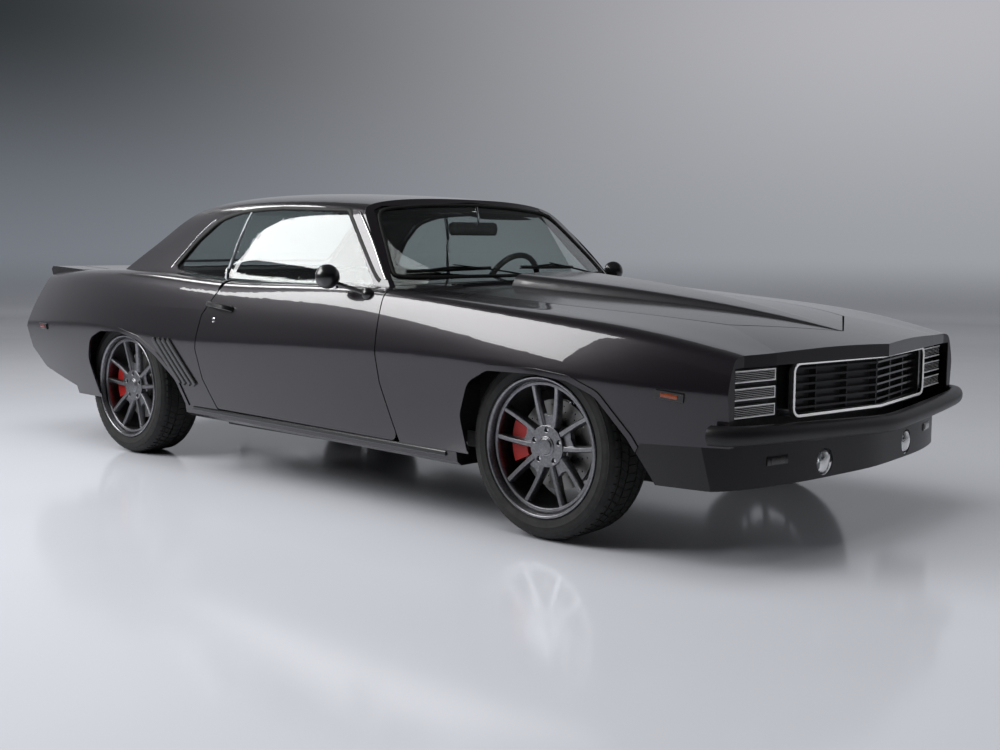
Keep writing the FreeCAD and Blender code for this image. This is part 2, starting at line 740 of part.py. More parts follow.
def make_cowl():
    corner = hood_side_shares[-1]
    edge_x = px(corner[0]) - seal_gap
    side_y = py(pillar_width_share) - seal_gap
    step_x = px(door_shares[0][0]) + panel_gap
    half = [(px(-0.220), py(0.450)), (edge_x, py(corner[1]) - seal_gap), (edge_x, side_y), (step_x, side_y),
            (step_x, side_y - door_swing_gap), (px(-0.360), side_y - door_swing_gap)]
    outline = [(x, -y) for x, y in half] + [(x, y) for x, y in reversed(half)]
    region = plan_prism(outline, pz(0.50))
    return body_open.common(region).cut(cowl_void).cut(hood_prism(0.0))


# Greenhouse pieces
greenhouse = bubble()
greenhouse_void = bubble(roof_thickness)
glass_outer = bubble(glass_inset)
glass_inner = bubble(glass_inset + glass_thickness)
glass_space = glass_outer.cut(glass_inner)

windscreen_span = (px(-0.62), px(-0.10))
rear_window_span = (px(-1.40), px(-0.74))
split_width = 8.0


def screen_opening(table, span, shrink, radius):
    return front_prism(front_outline(table, shrink), span[0], span[1], radius)


def window_opening(shrink):
    return side_cut(side_window_shares, window_corner_radius, -shrink)


def window_split(width):
    """The slanted strip between door glass and quarter glass."""
    foot, head = window_split_shares
    half = width / 2
    return side_prism([(px(foot) - half, pz(0.62)), (px(head) - half, pz(0.96)),
                       (px(head) + half, pz(0.96)), (px(foot) + half, pz(0.62))])


def make_roof():
    shell = greenhouse.cut(greenhouse_void)
    shell = shell.cut(body_open)
    shell = shell.cut(screen_opening(windscreen_opening_shares, windscreen_span, 0.0, window_corner_radius))
    shell = shell.cut(screen_opening(rear_opening_shares, rear_window_span, 0.0, window_corner_radius))
    opening = window_opening(0.0)
    return shell.cut(opening).cut(mirrored(opening))


def make_windscreen():
    pane = glass_space.common(screen_opening(windscreen_opening_shares, windscreen_span, seal_gap, window_corner_radius))
    return pane.cut(body_open)


def make_rear_window():
    pane = glass_space.common(screen_opening(rear_opening_shares, rear_window_span, seal_gap, window_corner_radius))
    return pane.cut(body_open)


def make_door_glass():
    pane = glass_space.common(window_opening(panel_gap))
    behind = window_split(split_width).fuse(
        side_prism([(px(-1.0), pz(0.60)), (px(-1.0), pz(1.0)), (px(window_split_shares[1]), pz(0.96)),
                    (px(window_split_shares[0]), pz(0.62))]))
    return pane.cut(behind).cut(body_open)


def make_quarter_glass():
    pane = glass_space.common(window_opening(seal_gap))
    ahead = window_split(split_width).fuse(
        side_prism([(px(-0.2), pz(0.60)), (px(-0.2), pz(1.0)), (px(window_split_shares[1]), pz(0.96)),
                    (px(window_split_shares[0]), pz(0.62))]))
    return pane.cut(ahead).cut(body_open)


# Wheels, tyres, discs, knuckles
hub_face = 40.0
hub_thickness = 34.0
hub_radius = 82.0
spindle_radius = 22.0
socket_radius = 32.0
bearing_gap = 0.35
disc_radius = 165.0
disc_thickness = 24.0
hat_radius = 78.0
bolt_circle_radius = 60.3
bolt_radius = 8.0
bolt_count = 5
spoke_pairs = 5
spoke_spread_share = 0.245
spoke_root_share = 0.55
spoke_flare_share = 1.35
spoke_half = 10.0
spoke_depth = 28.0
spoke_setback = 14.0
spoke_start = 62.0
spoke_end = 238.0
flange_width = 8.0
flange_height = 15.0
barrel_wall = 24.0
barrel_edge = 12.0
lip_round = 2.0
cap_radius = 36.0
cap_height = 8.0
# Tyre shoulder: how far in from the side and down from the tread, as shares of the tyre width.
tyre_shoulder_shares = [(0.125, 0.000), (0.030, 0.092), (0.000, 0.192)]


def turned(profile, centre_y, x, z):
    """A ring turned about the wheel's axle line from (out, radius) points."""
    points = [V(x, centre_y + out, z + radius) for out, radius in profile]
    face = Part.Face(polygon_wire(points))
    return face.revolve(V(x, centre_y, z), V(0, 1, 0), 360)


def outward(radius, length, x, y):
    """A round bar about a right wheel's axle line, from a width outward."""
    return Part.makeCylinder(radius, length, V(x, y, tyre_radius), V(0, -1, 0))


def make_tyre(x):
    """Right tyre: straight-sided section, outer side towards -Y."""
    half = tyre_width / 2
    bead = rim_width / 2 - flange_width - seal_gap
    seat = rim_radius - flange_height + seal_gap
    outer = [(half - tyre_width * inward, tyre_radius - tyre_width * down) for inward, down in tyre_shoulder_shares]
    outer += [(bead, rim_radius + lip_round / 2), (bead, seat)]
    profile = [(-out, radius) for out, radius in outer] + list(reversed(outer))
    return turned(profile, -track_half, x, tyre_radius)


def make_rim(x):
    half = rim_width / 2
    barrel = [
        (-half, rim_radius), (-half + flange_width, rim_radius - lip_round),
        (-half + flange_width, rim_radius - flange_height), (half - flange_width, rim_radius - flange_height),
        (half - flange_width, rim_radius - lip_round), (half, rim_radius), (half, rim_radius - barrel_edge),
        (half - barrel_edge, rim_radius - barrel_wall), (-half + barrel_edge, rim_radius - barrel_wall),
        (-half, rim_radius - barrel_edge),
    ]
    ring = turned(barrel, -track_half, x, tyre_radius)
    out = -track_half - hub_face
    wheel = ring.fuse(outward(hub_radius, hub_thickness, x, out))
    for index in range(spoke_pairs):
        for side in (-1, 1):
            turn = 2 * math.pi * index / spoke_pairs
            wheel = wheel.fuse(make_spoke(x, turn, side))
    wheel = wheel.fuse(outward(cap_radius, cap_height, x, out - hub_thickness))
    for index in range(bolt_count):
        turn = 2 * math.pi * index / bolt_count
        at = V(x + bolt_circle_radius * math.sin(turn), out + overrun, tyre_radius + bolt_circle_radius * math.cos(turn))
        wheel = wheel.cut(Part.makeCylinder(bolt_radius, 3 * overrun, at, V(0, -1, 0)))
    return wheel.cut(outward(socket_radius, 0.7 * hub_thickness, x, out + seal_gap))


def make_spoke(x, pair_turn, side):
    """One tapered spoke of a pair, from the hub to the barrel, deepest at the hub."""
    front = -track_half - rim_width / 2 + spoke_setback
    hub_front = -track_half - hub_face - 0.88 * hub_thickness
    root_turn = pair_turn + side * spoke_spread_share * (1 - spoke_root_share)
    tip_turn = pair_turn + side * spoke_spread_share
    rows = []
    for share in (0.0, 0.5, 1.0):
        radius = spoke_start + share * (spoke_end - spoke_start)
        face = hub_front + share * (front - hub_front)
        angle = root_turn + share * (tip_turn - root_turn)
        radial = V(math.sin(angle), 0, math.cos(angle))
        across = V(math.cos(angle), 0, -math.sin(angle))
        centre = V(x, 0, tyre_radius).add(radial * radius)
        wide = spoke_half * spoke_flare_share
        corners = [(-spoke_half, face), (spoke_half, face), (wide, face + spoke_depth), (-wide, face + spoke_depth)]
        points = [centre.add(across * a).add(V(0, y, 0)) for a, y in corners]
        rows.append(polygon_wire(points))
    return Part.makeLoft(rows, True, True)


def make_disc(x):
    inner = -track_half + disc_thickness / 2
    rotor = outward(disc_radius, disc_thickness, x, inner)
    rotor = rotor.fuse(outward(hat_radius, hub_face + disc_thickness / 2, x, inner))
    return rotor.cut(outward(spindle_radius + bearing_gap, 2 * overrun, x, -track_half + overrun))


plate_inset = 42.0
plate_thickness = 14.0
plate_radius = 70.0
kingpin_y = 690.0
kingpin_lean_share = 0.14
kingpin_reach = 108.0
ball_radius = 13.0
ball_wall = 5.0
ball_length = 60.0
ball_depth = 24.0
stud_length = 40.0
arm_thickness = 26.0
arm_end_half = 20.0
arm_window = 70.0
arm_crotch = 95.0
arm_spreads = (120.0, 165.0)
knuckle_width = 62.0
caliper_depth = 48.0
caliper_height = 24.0
caliper_width = 86.0
caliper_slot_gap = 5.0
caliper_half_turn = 0.42
bracket_thickness = 16.0
bracket_half = 34.0
bracket_offset = 20.0
bracket_inset = 40.0


def kingpin_point(along):
    length = math.hypot(1.0, kingpin_lean_share)
    return V(front_axle_x, -kingpin_y + along * kingpin_lean_share / length, tyre_radius + along / length)


def caliper(x):
    """A block that straddles the disc over a sector behind the axle line."""
    outer = disc_radius + caliper_height
    near = -track_half + caliper_width / 2
    ring = outward(outer, caliper_width, x, near)
    ring = ring.cut(outward(disc_radius - caliper_depth, caliper_width + overrun, x, near + overrun / 2))
    slot = disc_thickness + 2 * caliper_slot_gap
    ring = ring.cut(outward(disc_radius + caliper_slot_gap, slot, x, -track_half + slot / 2))
    corners = [V(x, near, tyre_radius)]
    for edge in (-caliper_half_turn, caliper_half_turn):
        corners.append(V(x - 2 * outer * math.cos(edge), near, tyre_radius + 2 * outer * math.sin(edge)))
    return ring.common(prism(polygon_wire(corners), V(0, -caliper_width, 0)))


def caliper_on_bracket(x):
    """A calliper behind the axle line, with the bracket that carries it."""
    near = -track_half + disc_thickness / 2 + bracket_offset
    bracket = box(x - disc_radius + bracket_inset, near, tyre_radius - bracket_half,
                  x, near + bracket_thickness, tyre_radius + bracket_half)
    return caliper(x).fuse(bracket)


def make_knuckle():
    x = front_axle_x
    top = kingpin_point(kingpin_reach)
    foot = kingpin_point(-kingpin_reach)
    post = tube_between(foot, top, knuckle_width * 0.40)
    spindle = outward(spindle_radius, hub_face + hub_thickness / 2 + track_half - kingpin_y, x, -kingpin_y)
    hub_plate = outward(plate_radius, plate_thickness, x, -track_half + plate_inset)
    solid = post.fuse([spindle, hub_plate, caliper_on_bracket(x)])
    along = top.sub(foot).normalize()
    for end, way in ((top, 1.0), (foot, -1.0)):
        start = end.sub(V(along) * (way * ball_depth))
        solid = solid.cut(Part.makeCylinder(ball_radius + bearing_gap, ball_length, start, V(along) * way))
    return solid


def make_arms():
    """Upper and lower control arms with their ball studs, right side."""
    parts = []
    along = kingpin_point(1.0).sub(kingpin_point(0.0)).normalize()
    inner_lines = (apron_outer + seal_gap, rail_y + rail_width / 2 + seal_gap)
    for way, inner_y, spread in zip((1.0, -1.0), inner_lines, arm_spreads):
        end = kingpin_point(way * kingpin_reach)
        centre_z = end.z + way * (arm_thickness / 2 + ball_wall)
        tip_y = end.y - ball_radius - ball_wall
        plate = [(front_axle_x - arm_end_half, tip_y), (front_axle_x + arm_end_half, tip_y),
                 (front_axle_x + spread, -inner_y), (front_axle_x + spread - arm_window, -inner_y),
                 (front_axle_x, end.y + arm_crotch),
                 (front_axle_x - spread + arm_window, -inner_y), (front_axle_x - spread, -inner_y)]
        arm = plan_prism(plate, centre_z - arm_thickness / 2, centre_z + arm_thickness / 2)
        stud_foot = end.sub(V(along) * (way * ball_depth * 0.92))
        parts.append(arm.fuse(Part.makeCylinder(ball_radius, stud_length, stud_foot, V(along) * way)))
    return parts


# Front face
grille_slope = (px(nose_shares[0][0]) - px(nose_shares[3][0])) / py(nose_shares[3][1])
grille_nose_x = px(0.3180)
face_rear_x = px(0.15)
face_front_x = px(0.42)
surround_half = py(0.5298)
surround_foot = pz(0.3755)
surround_head = pz(0.5189)
surround_middle = (surround_foot + surround_head) / 2
surround_height = surround_head - surround_foot
surround_bar = 13.0
surround_radius = 34.0
panel_setback = 46.0
panel_thickness = 8.0
panel_foot_rise = 6.0
bar_count = 6
bar_height = 7.0
bar_depth = 14.0
bar_setback = 16.0
post_count = 5
post_width = 5.0
post_setback = 20.0
headlamp_inner = py(0.5915)
headlamp_outer = py(0.8362)
headlamp_setback = 22.0
plate_setback = 32.0
headlamp_groups = 3
group_height = 0.215 * surround_height
group_pitch = 0.312 * surround_height
group_margin = 6.0
group_frame = 4.0
rib_count = 6
rib_height = 2.4
front_bumper_shares = [
    (0.2640, 0.925, 0.354), (0.2720, 0.925, 0.354), (0.2850, 0.905, 0.354), (0.2950, 0.850, 0.353),
    (0.3040, 0.740, 0.351), (0.3130, 0.560, 0.347), (0.3220, 0.330, 0.341), (0.3290, 0.110, 0.335),
    (0.3310, 0.000, 0.333),
]
front_bumper_half = 34.0
front_bumper_depth = 63.0
rear_bumper_shares = [
    (-1.3730, 0.000), (-1.3725, 0.500), (-1.3700, 0.740), (-1.3620, 0.860), (-1.3450, 0.925), (-1.3250, 0.945),
]
rear_bumper_height_share = 0.415
rear_bumper_half = 56.0
rear_bumper_depth = 46.0
# Section of a bumper bar: shares of its depth outward and of its half height upward.
bumper_section_shares = [
    (-0.48, -1.00), (0.10, -1.00), (0.41, -0.75), (0.52, 0.00), (0.41, 0.75), (0.10, 1.00), (-0.48, 1.00),
]
fog_dome_shares = [(0.00, 1.00), (0.13, 0.90), (0.24, 0.68), (0.31, 0.36), (0.33, 0.00)]
lamp_count = 3
lamp_pitch = py(0.1191)
lamp_width = py(0.1106)
lamp_inner = py(0.3191)
lamp_foot = pz(0.4934)
lamp_head = pz(0.5860)
plate_hole_spacing = 178.0
plate_hole_radius = 3.5
lamp_proud = 8.0


def nose_band(front, depth, half):
    """A V-shaped band in plan behind the grille line: from a setback, through a depth, out to a half width."""
    def line(setback, y):
        return (grille_nose_x - grille_slope * abs(y) - setback, y)
    return plan_prism([line(front, -half), line(front, 0.0), line(front, half), line(front + depth, half),
                       line(front + depth, 0.0), line(front + depth, -half)])


def face_bar(y0, z0, y1, z1):
    return box(face_rear_x, y0, z0, face_front_x, y1, z1)


def make_grille_panel():
    foot = pz(grille_floor_share) + panel_foot_rise
    half = py(front_opening_half_share) - seal_gap
    band = nose_band(panel_setback, panel_thickness, half).common(face_bar(-half, foot, half, pz(0.62)))
    return band.common(body_block(header_thickness + seal_gap))


def make_grille():
    def rounded(grow):
        low, high, half = surround_foot - grow, surround_head + grow, surround_half + grow
        points = [(-half, low), (half, low), (half, high), (-half, high)]
        return front_prism(points, face_rear_x, face_front_x, surround_radius + grow)
    ring = rounded(0.0).cut(rounded(-surround_bar)).common(nose_band(0.0, panel_setback, half_width))
    inside = rounded(-surround_bar / 2)
    bars = []
    pitch = surround_height / (bar_count + 1)
    for index in range(bar_count):
        z = surround_foot + pitch * (index + 1)
        bars.append(face_bar(-half_width, z - bar_height / 2, half_width, z + bar_height / 2))
    bars = bars[0].multiFuse(bars[1:]).common(nose_band(bar_setback, bar_depth, half_width))
    posts = []
    span = 2 * surround_half / (post_count + 1)
    for index in range(post_count):
        y = -surround_half + span * (index + 1)
        posts.append(face_bar(y - post_width / 2, surround_foot, y + post_width / 2, surround_head))
    posts = posts[0].multiFuse(posts[1:]).common(nose_band(post_setback, panel_setback - post_setback, half_width))
    return ring.fuse([bars.common(inside), posts.common(inside)])


def make_headlamp_door():
    """Right headlamp door: a dark plate with three framed groups of fine bright ribs."""
    tall = group_pitch * headlamp_groups
    low, high = surround_middle - tall / 2, surround_middle + tall / 2
    plate = face_bar(-headlamp_outer, low, -headlamp_inner, high)
    plate = plate.common(nose_band(plate_setback, panel_setback - plate_setback, half_width))
    out = headlamp_outer - group_margin
    inn = headlamp_inner + group_margin
    pieces = []
    for group in range(headlamp_groups):
        z = surround_middle + (group - (headlamp_groups - 1) / 2) * group_pitch
        low, high = z - group_height / 2, z + group_height / 2
        hollow = face_bar(-out + group_frame, low + group_frame, -inn - group_frame, high - group_frame)
        pieces.append(face_bar(-out, low, -inn, high).cut(hollow))
        for rib in range(rib_count):
            at = low + group_height * (rib + 1) / (rib_count + 1)
            pieces.append(face_bar(-out, at - rib_height / 2, -inn, at + rib_height / 2))
    ribs = pieces[0].multiFuse(pieces[1:])
    return plate.fuse(ribs.common(nose_band(headlamp_setback, plate_setback - headlamp_setback, half_width)))


def bumper_bar(right, depth, half):
    """A bar swept round the car from (x, y, z) points of its right half, then cleared of the body."""
    points = right + [(x, -y, z) for x, y, z in reversed(right[:-1])]
    section = [(out * depth, up * half) for out, up in bumper_section_shares]
    bar = swept_solid(path_stations([(x, y) for x, y, z in points], [z for x, y, z in points]), section)
    pieces = bar.cut(body_block(-seal_gap)).Solids
    return max(pieces, key=lambda piece: piece.Volume)


def make_front_bumper():
    right = [(px(s), -py(w), pz(h)) for s, w, h in front_bumper_shares]
    return bumper_bar(right, front_bumper_depth, front_bumper_half)


def make_rear_bumper():
    """The bar round the tail, with the two holes for a registration plate."""
    level = pz(rear_bumper_height_share)
    left = [(px(s), py(w), level) for s, w in reversed(rear_bumper_shares)]
    bar = bumper_bar(left, rear_bumper_depth, rear_bumper_half)
    for side in (-1, 1):
        start = V(tail_x - overrun, side * plate_hole_spacing / 2, level)
        bar = bar.cut(Part.makeCylinder(plate_hole_radius, 3 * overrun, start, V(1, 0, 0)))
    return bar


def make_fog_lamp():
    """A round bowl with a domed lens, turned about the lamp's own axis."""
    back = V(fog_x - 1.3 * fog_radius, -fog_y, fog_z)
    points = [back, back.add(V(0, 0, fog_radius))]
    for along, out in fog_dome_shares:
        points.append(V(fog_x + along * fog_radius, -fog_y, fog_z + out * fog_radius))
    return Part.Face(polygon_wire(points)).revolve(back, V(1, 0, 0), 360)


def make_tail_lamps():
    """Three lamps side by side, right side."""
    shell = body_solid().common(tail_block(-lamp_proud)).cut(body_solid().common(tail_block(-seal_gap)))
    lamps = []
    for index in range(lamp_count):
        y = lamp_inner + index * lamp_pitch
        block = box(tail_x - overrun, -y - lamp_width, lamp_foot, px(-1.20), -y, lamp_head)
        lamps.append(block.common(shell))
    return Part.makeCompound(lamps)


spoiler_shares = [
    (-1.1750, 0.640), (-1.1750, 0.702), (-1.2750, 0.712), (-1.2930, 0.712), (-1.2985, 0.700), (-1.2930, 0.672),
    (-1.2860, 0.640),
]


def make_spoiler_section(y0, y1):
    """A ducktail across the deck between two widths."""
    return side_prism(share_points(spoiler_shares), 0.0, y0, y1).cut(body_open)


# Underbody and structure
floor_thickness = 14.0
floor_z = pz(0.1581)
seat_pan_z = pz(0.2621)
boot_floor_z = pz(0.3400)
boot_floor_rear_z = pz(0.3223)
floor_front_shares = (-0.250, -0.315)
floor_rise_shares = (-0.745, -0.770, -0.905, -0.930, -1.070, -1.298)
toe_board_height_share = 0.370
floor_half = py(0.7897)
tunnel_half = py(0.1383)
pillar_outer = py(pillar_width_share) - door_swing_gap
pillar_inner = py(0.7819)
pillar_low_outer = py(0.8213)
tub_thickness = 10.0
tub_wall_y = py(0.6255)
tub_shares = [
    (-1.135, 0.120), (-1.142, 0.360), (-1.124, 0.500), (-1.060, 0.560), (-0.940, 0.560), (-0.868, 0.500),
    (-0.786, 0.330), (-0.735, 0.120),
]
rail_width = 76.0
rail_height = 96.0
rail_z = pz(0.1349)
rail_y = py(0.3957)
rail_front_z = pz(0.2236)
rail_line = [(px(0.225) - seal_gap, rail_front_z), (px(0.140), rail_front_z), (px(0.070), rail_z), (px(-0.290), rail_z)]
tower_width = 80.0
apron_outer = py(0.4766)
apron_thickness = 6.0
block_foot = pz(0.2005)
block_head = pz(0.4934)
block_half = py(0.2447)
head_half = py(0.3191)
head_foot = pz(0.3701)
head_top = pz(0.5089)
gearbox_half = py(0.1011)
gearbox_foot = pz(0.1658)
gearbox_top = pz(0.2313)
gearbox_end_share = -0.480
rocker_height = 54.0
axle_tube_radius = 38.0
axle_end_inset = 95.0
housing_radius = 98.0
shaft_radius = 28.0
shaft_front_z = pz(0.1928)
shaft_rear_z = pz(0.2313)
leaf_y = py(0.5106)
leaf_half = 32.0
leaf_rear_share = -0.226
leaf_front_share = 0.204
leaf_thickness = 22.0
exhaust_radius = 28.0
exhaust_y = py(0.2021)
exhaust_spread = py(0.2447)
exhaust_rise = pz(0.0578)
tip_radius = 36.0
tip_length = 130.0
muffler_half = 90.0
muffler_height = 72.0
tank_half = py(0.3511)
tank_height = 120.0


def thick_line(points, thickness):
    """A closed outline for a bent sheet: its underside runs through (x, z) points from front to rear."""
    upper = []
    count = len(points)
    for index, (x, z) in enumerate(points):
        x0, z0 = points[max(index - 1, 0)]
        x1, z1 = points[min(index + 1, count - 1)]
        length = math.hypot(x1 - x0, z1 - z0)
        upper.append((x + (z1 - z0) / length * thickness, z - (x1 - x0) / length * thickness))
    return points + list(reversed(upper))


def space_above(inset):
    """All that lies above or outside the lower body drawn in by an inset, over the sills."""
    space = box(tail_x - overrun, -half_width - overrun, pz(0.30), nose_x + overrun, half_width + overrun, roof_height)
    return space.cut(body_solid(inset))


def make_rocker():
    wires = []
    for share, top in rocker_top_shares:
        z1 = pz(top)
        outline = [(0.790, z1 - rocker_height), (0.905, z1 - rocker_height), (0.930, z1 - 0.7 * rocker_height),
                   (0.936, z1), (0.790, z1)]
        wires.append(polygon_wire([V(px(share), -py(w), z) for w, z in outline]))
    return Part.makeLoft(wires, True, True)


def make_tub():
    """Right rear wheelhouse: an arched sheet with an inner wall."""
    outer = side_cut(tub_shares, arch_corner_radius, tub_thickness, None, -tub_wall_y)
    inner = side_cut(tub_shares, arch_corner_radius, 0.0, None, -tub_wall_y - tub_thickness)
    below = box(px(-1.2), -half_width - overrun, 0, px(-0.6), 0, pz(0.2700))
    return outer.common(body_solid(quarter_skin + seal_gap)).cut(inner).cut(below), inner


def make_floor(rocker):
    front, toe = floor_front_shares
    rise, pan, pan_end, boot, boot_bend, boot_end = floor_rise_shares
    cabin = [(px(front), pz(0.74)), (px(front), pz(toe_board_height_share)), (px(toe), floor_z), (px(rise), floor_z),
             (px(pan), seat_pan_z), (px(pan_end), seat_pan_z), (px(boot), boot_floor_z), (px(boot_bend), boot_floor_z)]
    rear = [(px(boot) - overrun, boot_floor_z), (px(boot_bend), boot_floor_z), (px(boot_end), boot_floor_rear_z)]
    sheet = side_prism(thick_line(cabin, floor_thickness), 0.0, -floor_half, floor_half)
    trunk = side_prism(thick_line(rear, floor_thickness), 0.0, -half_width, half_width)
    trunk = trunk.common(body_block(quarter_skin + seal_gap))
    tunnel = box(px(front), -tunnel_half, floor_z, px(pan), tunnel_half, seat_pan_z + floor_thickness)
    half = tunnel_half - floor_thickness
    core = box(px(front) + overrun, -half, 0, px(pan) - overrun, half, seat_pan_z)
    pan_solid = sheet.fuse([trunk, tunnel]).cut(core)
    tub, hollow = make_tub()
    pillar = box(px(-0.3475), -pillar_low_outer, pz(sill_height_share), px(-0.245), -pillar_inner, pz(0.74))
    hinge_face = box(px(-0.3475), -pillar_outer, pz(0.450), px(-0.245), -pillar_inner, pz(0.74))
    pillar = pillar.fuse(hinge_face).cut(rocker)
    pan_solid = pan_solid.cut(hollow).cut(mirrored(hollow))
    pan_solid = pan_solid.fuse([tub, mirrored(tub), pillar, mirrored(pillar)])
    axle_slot = 1.5 * axle_tube_radius
    slot = box(rear_axle_x - axle_slot, -half_width, 0, rear_axle_x + axle_slot, half_width, tyre_radius + axle_slot)
    pan_solid = pan_solid.cut(slot)
    return pan_solid.cut(space_above(header_thickness + seal_gap))


def make_front_frame():
    pieces = []
    for side in (-1, 1):
        y0 = side * rail_y - rail_width / 2
        pieces.append(side_prism(thick_line(rail_line, rail_height), 0.0, y0, y0 + rail_width))
        y1 = side * (rail_y + rail_width / 2)
        pieces.append(box(px(-0.055), y1 - side * tower_width, rail_z + 0.7 * rail_height, px(0.055), y1, pz(0.475)))
    pieces.append(box(px(0.185), -rail_y, rail_front_z, px(0.215), rail_y, rail_front_z + rail_height))
    cross = box(px(-0.045), -rail_y, rail_z, px(0.045), rail_y, block_foot - seal_gap)
    return cross.fuse(pieces)


def make_front_structure():
    """Inner wings, radiator panel and hood latch support."""
    top = pz(0.560)
    rail_side = rail_y + rail_width / 2 + seal_gap
    foot = rail_z + 0.75 * rail_height
    pieces = []
    for side in (-1, 1):
        rear = px(floor_front_shares[0]) + seal_gap
        pieces.append(box(rear, side * (apron_outer - apron_thickness), foot, px(0.225), side * apron_outer, top))
        pieces.append(box(rear, side * rail_side, foot, px(0.050), side * apron_outer, foot + rail_height / 2))
    latch = box(px(0.225), -rail_width, pz(0.5), px(0.237), rail_width, pz(0.8)).common(body_solid(lid_thickness + seal_gap))
    panel = box(px(0.225), -py(0.700), rail_front_z, px(0.237), py(0.700), top)
    return panel.fuse(pieces + [latch])


def make_engine():
    block = box(px(-0.210), -block_half, block_foot, px(0.060), block_half, block_head)
    heads = box(px(-0.190), -head_half, head_foot, px(0.040), head_half, head_top)
    gearbox = box(px(gearbox_end_share), -gearbox_half, gearbox_foot, px(-0.210), gearbox_half, gearbox_top)
    return block.fuse([heads, gearbox])


def make_rear_axle():
    """Live axle with its brake callipers, spindles and propeller shaft."""
    y = track_half - axle_end_inset
    centre = V(rear_axle_x, 0, tyre_radius)
    tube = Part.makeCylinder(axle_tube_radius, 2 * y, V(rear_axle_x, -y, tyre_radius), V(0, 1, 0))
    nose = V(px(-0.950), 0, shaft_rear_z)
    pieces = [Part.makeSphere(housing_radius, centre), tube_between(centre, nose, 1.5 * shaft_radius)]
    pieces.append(tube_between(nose, V(px(gearbox_end_share) - 4 * seal_gap, 0, shaft_front_z), shaft_radius))
    for side in (-1, 1):
        end = side * (track_half + hub_face + hub_thickness / 2)
        pieces.append(tube_between(V(rear_axle_x, side * y * 0.9, tyre_radius), V(rear_axle_x, end, tyre_radius),
                                   spindle_radius))
        plate_at = side * (track_half - plate_inset)
        pieces.append(tube_between(V(rear_axle_x, plate_at, tyre_radius),
                                   V(rear_axle_x, plate_at + side * plate_thickness, tyre_radius), plate_radius))
    clamp = caliper_on_bracket(rear_axle_x)
    return tube.fuse(pieces + [clamp, mirrored(clamp)])


def make_leaf_spring():
    front_x = rear_axle_x + leaf_front_share * wheelbase
    rear_x = rear_axle_x + leaf_rear_share * wheelbase
    under_axle = tyre_radius - axle_tube_radius - leaf_thickness - seal_gap
    eye_z = seat_pan_z - seal_gap
    shackle_z = boot_floor_rear_z
    end_z = seat_pan_z - leaf_thickness
    lower = [(front_x, end_z - leaf_thickness), (rear_axle_x, under_axle), (rear_x, end_z)]
    upper = [(x, z + leaf_thickness) for x, z in reversed(lower)]
    y0, y1 = -leaf_y - leaf_half, -leaf_y + leaf_half
    leaf = side_prism(lower + upper, 0.0, y0, y1)
    eye = box(front_x, y0, end_z - leaf_thickness, front_x - 2 * leaf_thickness, y1, eye_z)
    shackle = box(rear_x, y0, end_z, rear_x + leaf_thickness, y1, shackle_z)
    return leaf.fuse([eye, shackle])


def make_exhaust():
    """Two pipes with a silencer each and a wider tip at the tail."""
    z = floor_z - seal_gap - exhaust_radius
    pieces = []
    for side in (-1, 1):
        y = side * exhaust_y
        head = V(px(-0.195), y, z)
        turn = V(px(-0.980), y, z)
        tail = V(px(-1.310), side * (exhaust_y + exhaust_spread), z + exhaust_rise)
        along = tail.sub(turn).normalize()
        pieces.append(tube_between(head, turn, exhaust_radius))
        pieces.append(Part.makeSphere(exhaust_radius, turn))
        pieces.append(tube_between(turn, tail, exhaust_radius))
        pieces.append(tube_between(tail.sub(V(along) * tip_length), tail, tip_radius))
        pieces.append(tube_between(head, V(head.x, y, block_foot - seal_gap), exhaust_radius))
        top = floor_z - seal_gap
        pieces.append(box(px(-0.560), y - muffler_half, top - muffler_height, px(-0.730), y + muffler_half, top))
    return pieces[0].multiFuse(pieces[1:])


def make_fuel_tank():
    top = boot_floor_rear_z + seal_gap
    return box(px(-1.255), -tank_half, top - tank_height, px(-1.090), tank_half, top)


# Cabin
dash_shares = [
    (-0.345, 0.680), (-0.395, 0.672), (-0.402, 0.620), (-0.380, 0.500),
]
dash_half_share = 0.735
column_radius = 26.0
column_length = 300.0
wheel_centre = V(px(-0.462), py(0.3957), pz(0.6399))
column_lean = V(-0.93, 0, 0.36).normalize()
steering_radius = 185.0
steering_rim = 14.0
steering_dish = 60.0
steering_spoke = 9.0
spoke_turns = (0.0, math.pi / 2, math.pi)
seat_round = 30.0
seat_outer = py(0.6596)
seat_inner = py(0.1489)
seat_mount_inset = 60.0
seat_foot = pz(0.2313)
# Front cushion and backrest outlines, then the rear bench, as (station, height) shares
cushion_shares = [(-0.470, 0.2313), (-0.470, 0.3315), (-0.650, 0.3084), (-0.660, 0.1928)]
backrest_shares = [(-0.655, 0.2313), (-0.625, 0.3238), (-0.690, 0.6631), (-0.725, 0.6631), (-0.715, 0.2313)]
bench_shares = [
    (-0.778, 0.2735), (-0.772, 0.3547), (-0.868, 0.3392), (-0.922, 0.6631), (-0.958, 0.6631), (-0.912, 0.3547),
    (-0.886, 0.2735),
]
bench_half = py(0.5957)


def make_dashboard():
    front_x = px(floor_front_shares[0]) - floor_thickness - seal_gap
    outline = [(front_x, pz(0.655))] + share_points(dash_shares) + [(front_x, pz(0.520))]
    pad = side_prism(outline, 0.0, -py(dash_half_share), py(dash_half_share))
    far = wheel_centre.sub(V(column_lean) * (2 * steering_radius))
    bore = tube_between(wheel_centre, far, column_radius + bearing_gap)
    return pad.cut(space_above(header_thickness + seal_gap)).cut(bore)


def make_front_seat():
    cushion = side_prism(share_points(cushion_shares), seat_round, -seat_outer, -seat_inner)
    back = side_prism(share_points(backrest_shares), seat_round, -seat_outer, -seat_inner)
    mount = box(px(-0.48), seat_mount_inset - seat_outer, floor_z + floor_thickness + seal_gap,
                px(-0.65), -seat_inner - seat_mount_inset, seat_foot)
    return cushion.fuse([back, mount])


